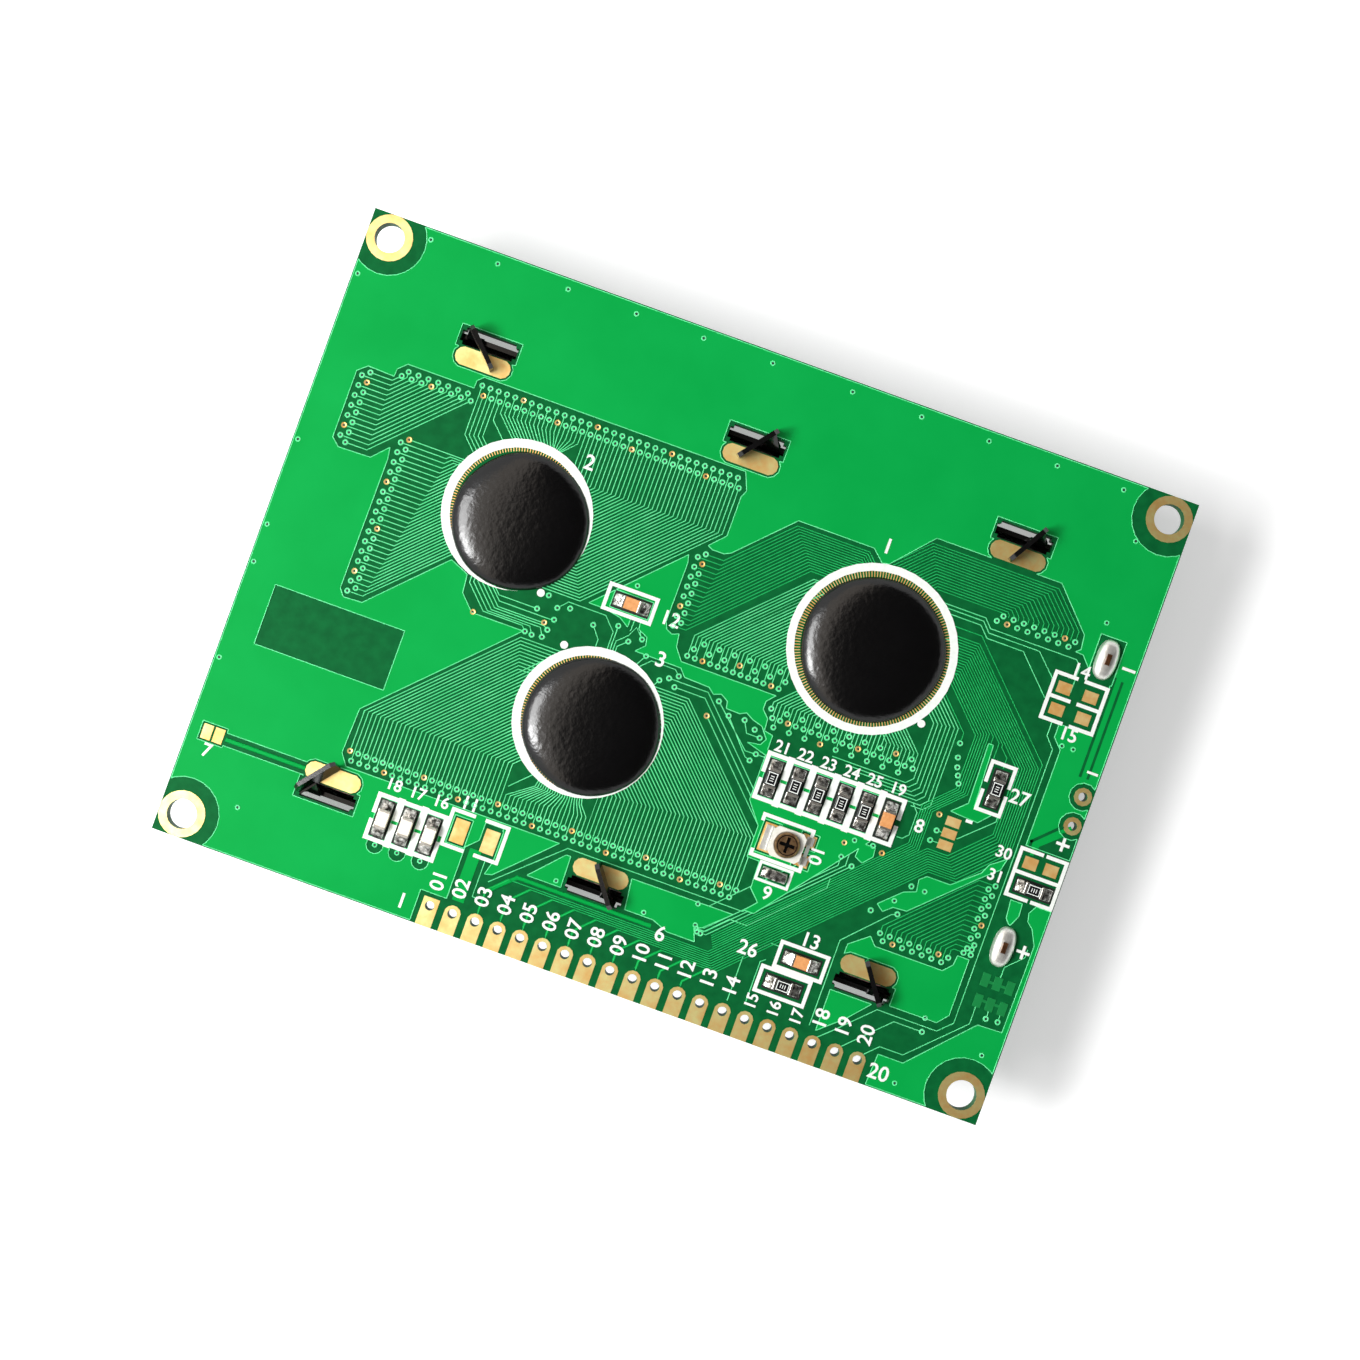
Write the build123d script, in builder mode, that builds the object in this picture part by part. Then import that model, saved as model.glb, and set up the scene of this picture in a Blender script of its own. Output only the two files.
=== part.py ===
from build123d import *
import math
import os

# A graphic display module with a chip-on-board driver board, lying on its display face.
# Millimetres. X runs along the board, Y across it, Z up out of the component side.
# The origin is the middle of the board, on the plane that the bezel's face rests on.

# Circuit board
BOARD_LENGTH = 93.0
BOARD_WIDTH = 70.0
BOARD_THICKNESS = 1.6
MOUNT_HOLE_D = 3.2
MOUNT_INSET = 2.5
MOUNT_PAD_D = 5.0
MOUNT_CLEAR_D = 8.0

# Foil, print and the gap between two bare conductors
FOIL = 0.05
PRINT = 0.03
ISOLATION = 0.5
DROP_GAP = 0.05
EDGE_CLEARANCE = 0.15

# Sides that stand for a round in what repeats: pads, header holes, rings and drops
PAD_SIDES = 12
HOLE_SIDES = 16
CLEAR_SIDES = 24
RING_SIDES = 36

# Bezel, a folded steel frame
BEZEL_LENGTH = 78.0
BEZEL_WIDTH = 51.7
BEZEL_SHEET = 0.5
BEZEL_FOLD_R = 0.45
WINDOW_LENGTH = 72.0
WINDOW_WIDTH = 40.0
WINDOW_CORNER_R = 0.6
WINDOW_BEVEL = 0.2
LEAD_NOTCH_WIDTH = 2.4

# Hook tabs that pass through the board and are twisted over their pads
TAB_PITCH = 30.2
SLOT_LENGTH = 6.3
SLOT_WIDTH = 1.9
SLOT_CORNER = 0.35
SLOT_INSET = 0.15
NECK_WIDTH = 1.9
NECK_OFFSET = 1.65
HEAD_LENGTH = 5.0
HEAD_HEIGHT = 2.2
HEAD_CORNER = 0.5
HEAD_GAP = 0.02
TWIST_BELOW = 0.5
TWIST_ABOVE = 0.8
TAB_PAD_LENGTH = 6.1
TAB_PAD_WIDTH = 1.95
TAB_PAD_GAP = 0.12

# Display stack
POLARIZER = 0.2
GLASS = 1.1
GLASS_GAP = 0.3
CONTACT_LEDGE = 2.7
POLARIZER_INSET = 1.0
STRIP_THICKNESS = 1.8
STRIP_INSET = 0.3
STRIP_LENGTH = 66.0
SIDE_STRIP_LENGTH = 40.0

# Backlight
DIFFUSER = 0.3
LIGHT_GUIDE = 3.0
REFLECTOR = 0.2
HOUSING_WALL = 1.2
HOUSING_FLOOR = 1.0
HOUSING_RIM = 1.8
HOUSING_GAP = 0.2
SHEET_GAP = 0.1
RIB_WIDTH = 1.5
RIB_SPACING = 24.0
LED_BOARD_THICKNESS = 0.8
LED_BOARD_LENGTH = 38.0
LED_COUNT = 7
LED_PITCH = 5.2
LED_LENGTH = 3.0
LED_HEIGHT = 1.6
LED_DEPTH = 0.8
LEAD_SPACING = 32.4
LEAD_REACH = 3.8
LEAD_WIDTH = 1.2
LEAD_THICKNESS = 0.5
LEAD_BEND_R = 0.6
LEAD_RISE = 1.1
LEAD_SLOT_LENGTH = 2.4
LEAD_SLOT_WIDTH = 1.3
LEAD_GAP = 0.15

# Drops of solder on the backlight leads
SOLDER_LENGTH = 4.4
SOLDER_WIDTH = 2.4
SOLDER_CORNER = 0.9
SOLDER_HEIGHT = 0.9
SOLDER_SLOPE_DOWN = 0.6
SOLDER_SLOPE_IN = 0.5

# Section of an epoxy drop: how far each level stands in from the rim, and its share of
# the height. The last level is the flat crown.
DROP_SECTION = [
    (0.0, 0.0),
    (0.35, 0.38),
    (1.25, 0.68),
    (3.0, 0.9),
    (5.6, 1.0),
]

# Pin header pads along the lower edge
HEADER_COUNT = 20
HEADER_PITCH = 2.54
HEADER_X = 8.2
HEADER_INSET = 2.25
HEADER_HOLE_D = 1.0
HEADER_PAD_WIDTH = 1.75

# Spare backlight holes by the right edge
SPARE_INSET = 1.1
SPARE_SPACING = 3.3
SPARE_PAD_D = 1.9
SPARE_HOLE_D = 0.96

# Chip resistors and capacitors, 0805 size
CHIP_LENGTH = 2.0
CHIP_WIDTH = 1.25
CHIP_CAP = 0.35
CHIP_CAP_PROUD = 0.03
RESISTOR_HEIGHT = 0.5
CAPACITOR_HEIGHT = 0.85
CHIP_PAD_LENGTH = 1.2
CHIP_PAD_WIDTH = 1.45
CHIP_PAD_UNDER = 0.3
FILLET_REACH = 0.75
FILLET_RISE = 0.75
CHIP_BLOCK_X = 60.15
CHIP_BLOCK_PITCH = 2.6

# Contrast trimmer
TRIMMER_LENGTH = 3.6
TRIMMER_WIDTH = 3.3
TRIMMER_HEIGHT = 0.9
TRIMMER_CORNER = 0.45
TRIMMER_WELL_DEPTH = 0.25
ROTOR_D = 2.7
ROTOR_HEIGHT = 0.75
ROTOR_CHAMFER = 0.12
WELL_GAP = 0.1
ROTOR_SLOT_WIDTH = 0.4
ROTOR_SLOT_LENGTH = 1.7
ROTOR_SLOT_DEPTH = 0.4
ROTOR_GAP = 0.04
SPINDLE_D = 1.0
SPINDLE_LENGTH = 0.4
TERMINAL_THICKNESS = 0.2
TERMINAL_REACH = 0.85
TERMINAL_RISE = 0.6
TRIMMER_PAD_LENGTH = 1.5
TRIMMER_PAD_OUT = 0.2

# Levels of the stack, from the resting face up
Z_POLARIZER = BEZEL_SHEET
Z_FRONT_GLASS = Z_POLARIZER + POLARIZER
Z_REAR_GLASS = Z_FRONT_GLASS + GLASS
Z_REAR_POLARIZER = Z_REAR_GLASS + GLASS
Z_DIFFUSER = Z_REAR_POLARIZER + POLARIZER
Z_GUIDE = Z_DIFFUSER + DIFFUSER
Z_REFLECTOR = Z_GUIDE + LIGHT_GUIDE
Z_FLOOR = Z_REFLECTOR + REFLECTOR
Z_BOARD = Z_FLOOR + HOUSING_FLOOR + HOUSING_RIM
Z_BACK = Z_BOARD + BOARD_THICKNESS
Z_FOIL = Z_BACK + FOIL

# Layout positions are read from the upper left corner of the board, x right and y down,
# and this point of them is the middle of the board.
LAYOUT_X = 46.5
LAYOUT_Y = 35.0

WALL_X = BEZEL_LENGTH / 2 - BEZEL_SHEET / 2
WALL_Y = BEZEL_WIDTH / 2 - BEZEL_SHEET / 2
SLOT_Y = WALL_Y - SLOT_INSET
TAB_XS = [-TAB_PITCH, 0.0, TAB_PITCH]
TAB_PAD_Y = SLOT_Y - SLOT_WIDTH / 2 - TAB_PAD_GAP - TAB_PAD_WIDTH / 2
MOUNT_X = BOARD_LENGTH / 2 - MOUNT_INSET
MOUNT_Y = BOARD_WIDTH / 2 - MOUNT_INSET
HEADER_Y = -BOARD_WIDTH / 2 + HEADER_INSET
HEADER_ROW_LENGTH = (HEADER_COUNT - 1) * HEADER_PITCH + HEADER_PAD_WIDTH + ISOLATION
HEADER_ROW_DEPTH = HEADER_INSET + HEADER_PAD_WIDTH / 2 + ISOLATION / 2
LEAD_X = BEZEL_LENGTH / 2 + LEAD_REACH
SPARE_X = BOARD_LENGTH / 2 - SPARE_INSET

# Hook tabs: place along the row, row, side of the neck, swing in degrees, how far the
# twist carries the neck sideways, lean of the head in degrees, and how far the head
# reaches back past the middle of the neck.
TABS = [
    (TAB_XS[0], 1, -1, 45.8, 0.13, 4.0, 1.02),
    (TAB_XS[1], 1, 1, 51.3, 0.92, -4.0, 1.23),
    (TAB_XS[2], 1, 1, 59.5, 0.53, 3.0, 1.2),
    (TAB_XS[0], -1, -1, 50.8, -0.6, -18.0, 1.02),
    (TAB_XS[1], -1, 1, 53.9, -0.15, 6.0, 1.02),
    (TAB_XS[2], -1, 1, 54.9, -0.05, 3.0, 1.02),
]

# Driver chips under epoxy: name, ring centre, ring radii, drop centre and radius, height
DRIVERS = [
    ("epoxy_drop_u1", (65.5, 26.15), 9.15, 8.3, (65.6, 26.2), 7.75, 1.5),
    ("epoxy_drop_u2", (25.2, 25.55), 8.1, 7.15, (25.8, 26.15), 7.35, 1.4),
    ("epoxy_drop_u3", (39.75, 43.75), 8.1, 7.15, (40.3, 44.0), 7.4, 1.4),
]

# Chips: name, layout place, and whether the chip lies along X
RESISTORS = [
    ("resistor_r1", CHIP_BLOCK_X, 42.7, False),
    ("resistor_r2", CHIP_BLOCK_X + CHIP_BLOCK_PITCH, 42.7, False),
    ("resistor_r3", CHIP_BLOCK_X + 2 * CHIP_BLOCK_PITCH, 42.7, False),
    ("resistor_r4", CHIP_BLOCK_X + 3 * CHIP_BLOCK_PITCH, 42.7, False),
    ("resistor_r5", CHIP_BLOCK_X + 4 * CHIP_BLOCK_PITCH, 42.7, False),
    ("resistor_r6", 68.7, 63.05, True),
    ("resistor_r7", 82.95, 35.7, False),
    ("resistor_r10", 90.3, 44.45, True),
]
CAPACITORS = [
    ("capacitor_c2", 39.9, 30.4, True),
    ("capacitor_c3", 69.7, 60.0, True),
    ("capacitor_c6", 28.0, 60.75, False),
    ("capacitor_c7", 25.35, 60.75, False),
    ("capacitor_c8", 22.75, 60.75, False),
    ("capacitor_c9", CHIP_BLOCK_X + 5 * CHIP_BLOCK_PITCH, 42.7, False),
]

# Bare pads with nothing fitted: layout centre, size along X, size along Y
EMPTY_PADS = [
    (30.9, 59.25, 1.55, 2.6),
    (34.3, 59.25, 1.55, 2.6),
    (86.1, 23.15, 1.55, 1.25),
    (89.05, 23.15, 1.55, 1.25),
    (86.1, 25.55, 1.55, 1.25),
    (89.05, 25.55, 1.55, 1.25),
    (89.05, 41.9, 1.5, 1.3),
    (91.35, 41.9, 1.5, 1.3),
    (79.85, 40.55, 1.55, 1.0),
    (79.85, 41.85, 1.55, 1.0),
    (79.85, 43.15, 1.55, 1.0),
    (2.08, 58.4, 1.05, 1.6),
    (3.38, 58.4, 1.05, 1.6),
]

# Solder link beside the trimmer
LINK_PLACE = (63.85, 52.3)
LINK_PAD_LENGTH = 1.2
LINK_PAD_WIDTH = 1.1
LINK_GAP = 0.35
LINK_HEIGHT = 0.45
LINK_SLOPE_DOWN = 0.3
LINK_SLOPE_IN = 0.22
LINK_INSET = 0.1

TRIMMER_PLACE = (64.0, 48.75)

# Terminals of the trimmer: side of the body, offset along the side, width
TRIMMER_TERMINALS = [
    (-1, 0.0, 2.7),
    (1, 1.1, 0.9),
    (1, -1.1, 0.9),
]
TRIMMER_PAD_X = TRIMMER_LENGTH / 2 + TERMINAL_REACH + TRIMMER_PAD_OUT - TRIMMER_PAD_LENGTH / 2
TRIMMER_PADS = [
    (
        TRIMMER_PLACE[0] + side * TRIMMER_PAD_X,
        TRIMMER_PLACE[1] - offset_y,
        TRIMMER_PAD_LENGTH,
        width + 2 * TRIMMER_PAD_OUT,
    )
    for side, offset_y, width in TRIMMER_TERMINALS
]


def at(x, y):
    """A point of the board's layout in the frame of the module."""
    return (x - LAYOUT_X, LAYOUT_Y - y)


def pad_end(width, mode=Mode.ADD):
    """The round end of a pad, with flats square to the board's edges."""
    RegularPolygon(width / 2, PAD_SIDES, major_radius=False, rotation=180 / PAD_SIDES, mode=mode)


def oval(length, width, mode=Mode.ADD):
    """A pad along X with round ends."""
    Rectangle(length - width, width, mode=mode)
    with Locations((-(length - width) / 2, 0), ((length - width) / 2, 0)):
        pad_end(width, mode)


def outline(points, mode=Mode.ADD):
    """A face from layout points, in the sketch that is open."""
    Polygon(*[at(x, y) for x, y in points], align=None, mode=mode)


def save(piece, name):
    """Labels a finished piece and writes it under its own name."""
    piece.part.label = name
    export_step(piece.part, f"parts/{name}.step")


os.makedirs("parts", exist_ok=True)

MOUNTS = [(sx * MOUNT_X, sy * MOUNT_Y) for sx in (-1, 1) for sy in (-1, 1)]
SLOTS = [(x, row * SLOT_Y) for row in (1, -1) for x in TAB_XS]
TAB_PADS = [(x, row * TAB_PAD_Y) for row in (1, -1) for x in TAB_XS]
HEADER_XS = [HEADER_X + (i - (HEADER_COUNT - 1) / 2) * HEADER_PITCH for i in range(HEADER_COUNT)]
HEADER_HOLES = [(x, HEADER_Y) for x in HEADER_XS]
SPARE_HOLES = [(SPARE_X, s * SPARE_SPACING / 2) for s in (1, -1)]
LEADS = [(LEAD_X, s * LEAD_SPACING / 2) for s in (1, -1)]

# Circuit board, drilled and slotted
with BuildPart() as circuit_board:
    with BuildSketch(Plane.XY.offset(Z_BOARD)):
        Rectangle(BOARD_LENGTH, BOARD_WIDTH)
        with Locations(*MOUNTS):
            Circle(MOUNT_HOLE_D / 2, mode=Mode.SUBTRACT)
        with Locations(*SLOTS):
            Rectangle(SLOT_LENGTH - 2 * SLOT_CORNER, SLOT_WIDTH, mode=Mode.SUBTRACT)
            Rectangle(SLOT_LENGTH, SLOT_WIDTH - 2 * SLOT_CORNER, mode=Mode.SUBTRACT)
        with Locations(*HEADER_HOLES):
            RegularPolygon(HEADER_HOLE_D / 2, HOLE_SIDES, mode=Mode.SUBTRACT)
        with Locations(*SPARE_HOLES):
            Circle(SPARE_HOLE_D / 2, mode=Mode.SUBTRACT)
        with Locations(*LEADS):
            Rectangle(LEAD_SLOT_WIDTH, LEAD_SLOT_LENGTH, mode=Mode.SUBTRACT)
    extrude(amount=BOARD_THICKNESS)
save(circuit_board, "circuit_board")

# Windows in the ground foil, where the fans of tracks run. Layout points.
FAN_WEST = [
    (4.0, 24.4), (4.0, 16.9), (5.0, 16.05), (7.95, 16.15), (8.0, 15.3), (8.9, 14.45),
    (16.35, 14.45), (16.4, 13.6), (17.0, 13.0), (46.5, 13.0), (47.3, 14.9), (46.95, 15.7),
    (46.95, 20.1), (45.4, 21.75), (46.0, 22.0), (47.3, 22.0), (48.0, 21.65), (53.55, 16.0),
    (62.1, 16.0), (63.4, 17.2), (63.4, 34.3), (46.9, 34.3), (45.9, 33.0), (45.7, 31.6),
    (45.0, 31.9), (44.3, 31.6), (43.95, 30.8), (44.0, 24.2), (43.8, 23.35), (35.55, 31.75),
    (37.4, 31.75), (39.2, 32.1), (40.3, 32.8), (40.3, 31.6), (41.4, 31.6), (41.5, 32.6),
    (42.6, 33.1), (42.8, 34.0), (41.9, 34.9), (47.1, 34.95), (47.8, 35.75), (50.6, 35.85),
    (51.3, 36.4), (52.1, 36.1), (52.95, 36.6), (53.1, 37.35), (54.6, 37.4), (55.3, 37.05),
    (56.1, 37.5), (57.3, 37.85), (58.2, 39.0), (57.8, 39.75), (56.4, 39.95), (58.7, 40.6),
    (58.7, 45.6), (60.5, 47.9), (60.5, 51.4), (61.9, 51.4), (62.0, 54.4), (63.2, 55.6),
    (62.1, 56.85), (17.2, 56.85), (16.3, 55.6), (16.5, 50.6), (30.0, 36.95), (24.2, 36.95),
    (22.6, 35.3), (22.4, 33.3), (20.3, 32.4), (12.9, 39.9), (10.8, 40.0), (10.2, 39.2),
    (10.3, 24.6), (10.1, 23.4), (8.5, 25.1), (4.9, 25.2),
]
FAN_EAST = [
    (63.4, 34.0), (63.4, 17.9), (68.0, 12.75), (82.1, 12.75), (86.2, 17.1), (86.4, 18.7),
    (85.9, 19.1), (86.8, 19.15), (88.2, 20.7), (90.6, 20.9), (90.6, 26.9), (86.9, 26.9),
    (86.9, 28.4), (87.95, 29.5), (87.95, 40.2), (93.1, 40.2), (93.1, 46.0), (91.2, 46.0),
    (90.7, 46.9), (90.9, 47.8), (91.6, 48.4), (92.4, 50.0), (92.4, 52.5), (92.3, 59.8),
    (89.6, 59.9), (83.5, 66.4), (80.7, 66.4), (80.5, 70.1), (29.1, 70.1), (29.1, 66.4),
    (32.0, 66.4), (32.0, 60.6), (33.2, 59.4), (33.2, 57.4), (35.2, 57.4), (35.3, 61.2),
    (34.9, 62.6), (35.7, 62.4), (41.3, 56.85), (63.2, 56.85), (72.2, 45.5), (72.2, 40.0),
    (58.7, 40.0), (58.7, 38.4), (57.7, 38.2), (57.6, 36.9), (56.8, 36.1), (56.8, 35.2),
    (57.6, 34.3),
]
# Foil left standing inside the windows
ISLANDS = [
    [
        (49.8, 57.75), (61.2, 57.7), (58.6, 60.1), (57.8, 60.5), (58.3, 61.8), (55.2, 61.8),
        (53.4, 61.1), (50.2, 61.1),
    ],
    [(42.4, 57.75), (42.9, 57.75), (43.0, 61.2), (39.2, 61.2)],
    [(71.4, 45.9), (73.0, 45.9), (73.1, 46.9), (72.2, 47.9), (71.3, 47.5)],
    [(59.3, 46.4), (60.5, 46.5), (60.5, 47.7)],
    [
        (79.2, 39.5), (80.7, 38.1), (80.55, 31.4), (81.1, 31.4), (81.4, 38.3), (83.4, 38.5),
        (82.3, 39.7), (80.3, 39.6),
    ],
    [
        (86.6, 42.3), (85.0, 43.5), (84.5, 44.6), (81.8, 46.9), (79.2, 46.9), (78.5, 47.5),
        (78.7, 48.8), (77.4, 49.3), (75.2, 51.4), (76.0, 52.0), (76.9, 51.2), (78.4, 51.1),
        (84.6, 45.1), (86.3, 43.6),
    ],
    [
        (73.7, 56.5), (75.7, 54.9), (76.5, 55.75), (84.1, 55.75), (85.0, 54.8), (85.1, 53.7),
        (86.4, 53.7), (86.4, 60.0), (85.4, 61.15), (73.7, 61.2),
    ],
    [(73.6, 61.5), (78.4, 61.5), (76.2, 64.0), (73.6, 66.3)],
    [(88.4, 46.2), (89.7, 46.2), (89.8, 47.6), (89.2, 48.9), (88.6, 48.2)],
]
# Bare windows in the foil: layout centre, size along X, size along Y. The first is a plain
# field at the left, the second a channel from the pair of pads at the left to a tab's pad.
BARE_WINDOWS = [
    (10.9, 44.55, 14.6, 6.7),
    (8.7, 58.5, 9.4, 1.4),
]
# Round bays in the foil for the vias below the three chips at the lower left
BAYS = [(22.9, 63.65), (25.4, 63.65), (28.0, 63.65)]
BAY_D = 1.8

# Ground foil under the solder mask, with its windows
with BuildPart() as ground_foil:
    with BuildSketch(Plane.XY.offset(Z_BACK)):
        Rectangle(BOARD_LENGTH - 2 * EDGE_CLEARANCE, BOARD_WIDTH - 2 * EDGE_CLEARANCE)
        outline(FAN_WEST, Mode.SUBTRACT)
        outline(FAN_EAST, Mode.SUBTRACT)
        for island in ISLANDS:
            outline(island)
        for x, y, length, width in BARE_WINDOWS:
            with Locations(at(x, y)):
                Rectangle(length, width, mode=Mode.SUBTRACT)
        with Locations(*[at(x, y) for x, y in BAYS]):
            pad_end(BAY_D, Mode.SUBTRACT)
        with Locations((HEADER_X, -BOARD_WIDTH / 2)):
            Rectangle(HEADER_ROW_LENGTH, 2 * HEADER_ROW_DEPTH, mode=Mode.SUBTRACT)
        for name, ring, ring_r, inner_r, drop, drop_r, height in DRIVERS:
            with Locations(at(*ring)):
                RegularPolygon(ring_r + DROP_GAP, RING_SIDES, mode=Mode.SUBTRACT)
            with Locations(at(*drop)):
                RegularPolygon(drop_r + DROP_GAP, RING_SIDES, mode=Mode.SUBTRACT)
        with Locations(*MOUNTS):
            RegularPolygon(MOUNT_CLEAR_D / 2, CLEAR_SIDES, mode=Mode.SUBTRACT)
        with Locations(*SLOTS):
            Rectangle(SLOT_LENGTH + ISOLATION, SLOT_WIDTH + ISOLATION, mode=Mode.SUBTRACT)
        with Locations(*TAB_PADS):
            oval(TAB_PAD_LENGTH + ISOLATION, TAB_PAD_WIDTH + ISOLATION, Mode.SUBTRACT)
        with Locations(*SPARE_HOLES):
            pad_end(SPARE_PAD_D + 2 * ISOLATION, Mode.SUBTRACT)
        with Locations(*LEADS):
            Rectangle(SOLDER_WIDTH + ISOLATION, SOLDER_LENGTH + ISOLATION, mode=Mode.SUBTRACT)
        for x, y, length, width in EMPTY_PADS + TRIMMER_PADS:
            with Locations(at(x, y)):
                Rectangle(length + ISOLATION, width + ISOLATION, mode=Mode.SUBTRACT)
        with Locations(at(*LINK_PLACE)):
            Rectangle(
                LINK_GAP + 2 * LINK_PAD_LENGTH + ISOLATION,
                LINK_PAD_WIDTH + ISOLATION,
                mode=Mode.SUBTRACT,
            )
        for name, x, y, along_x in RESISTORS + CAPACITORS:
            with Locations(Location(at(x, y), 0 if along_x else 90)):
                Rectangle(
                    CHIP_LENGTH + 2 * (CHIP_PAD_LENGTH - CHIP_PAD_UNDER) + ISOLATION,
                    CHIP_PAD_WIDTH + ISOLATION,
                    mode=Mode.SUBTRACT,
                )
    extrude(amount=FOIL)
save(ground_foil, "ground_foil")

# Plated rings of the mounting holes, cut off flush with the board's edges
with BuildPart() as mounting_pads:
    with BuildSketch(Plane.XY.offset(Z_BACK)):
        with Locations(*MOUNTS):
            RegularPolygon(MOUNT_PAD_D / 2, CLEAR_SIDES)
            RegularPolygon(MOUNT_HOLE_D / 2, CLEAR_SIDES, major_radius=False, mode=Mode.SUBTRACT)
        Rectangle(BOARD_LENGTH, BOARD_WIDTH, mode=Mode.INTERSECT)
    extrude(amount=FOIL)
save(mounting_pads, "mounting_pads")

# Gilt pads that the hook tabs are twisted over
with BuildPart() as tab_pads:
    with BuildSketch(Plane.XY.offset(Z_BACK)):
        with Locations(*TAB_PADS):
            oval(TAB_PAD_LENGTH, TAB_PAD_WIDTH)
    extrude(amount=FOIL)
save(tab_pads, "tab_pads")

# Header pads: round at the top, square on pin 1, running out to the lower edge
with BuildPart() as header_pads:
    with BuildSketch(Plane.XY.offset(Z_BACK)):
        with Locations(*HEADER_HOLES):
            pad_end(HEADER_PAD_WIDTH)
        with Locations(HEADER_HOLES[0]):
            Rectangle(HEADER_PAD_WIDTH, HEADER_PAD_WIDTH)
        with Locations(*[(x, HEADER_Y - HEADER_INSET / 2) for x in HEADER_XS]):
            Rectangle(HEADER_PAD_WIDTH, HEADER_INSET)
        with Locations(*HEADER_HOLES):
            pad_end(HEADER_HOLE_D, Mode.SUBTRACT)
    extrude(amount=FOIL)
save(header_pads, "header_pads")

# Rings of the spare backlight holes
with BuildPart() as spare_pads:
    with BuildSketch(Plane.XY.offset(Z_BACK)):
        with Locations(*SPARE_HOLES):
            pad_end(SPARE_PAD_D)
            pad_end(SPARE_HOLE_D, Mode.SUBTRACT)
    extrude(amount=FOIL)
save(spare_pads, "spare_pads")

# Pads with nothing soldered on them
with BuildPart() as empty_pads:
    with BuildSketch(Plane.XY.offset(Z_BACK)):
        for x, y, length, width in EMPTY_PADS:
            with Locations(at(x, y)):
                Rectangle(length, width)
    extrude(amount=FOIL)
save(empty_pads, "empty_pads")

# Pads of the trimmer's three terminals
with BuildPart() as trimmer_pads:
    with BuildSketch(Plane.XY.offset(Z_BACK)):
        for x, y, length, width in TRIMMER_PADS:
            with Locations(at(x, y)):
                Rectangle(length, width)
    extrude(amount=FOIL)
save(trimmer_pads, "trimmer_pads")

# Pads under the two ends of every chip, and under the solder link
CHIP_PAD_X = CHIP_LENGTH / 2 + CHIP_PAD_LENGTH / 2 - CHIP_PAD_UNDER
LINK_PAD_X = LINK_GAP / 2 + LINK_PAD_LENGTH / 2
with BuildPart() as chip_pads:
    with BuildSketch(Plane.XY.offset(Z_BACK)):
        for name, x, y, along_x in RESISTORS + CAPACITORS:
            with Locations(Location(at(x, y), 0 if along_x else 90)):
                with Locations((-CHIP_PAD_X, 0), (CHIP_PAD_X, 0)):
                    Rectangle(CHIP_PAD_LENGTH, CHIP_PAD_WIDTH)
        with Locations(at(*LINK_PLACE)):
            with Locations((-LINK_PAD_X, 0), (LINK_PAD_X, 0)):
                Rectangle(LINK_PAD_LENGTH, LINK_PAD_WIDTH)
    extrude(amount=FOIL)
save(chip_pads, "chip_pads")

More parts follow.
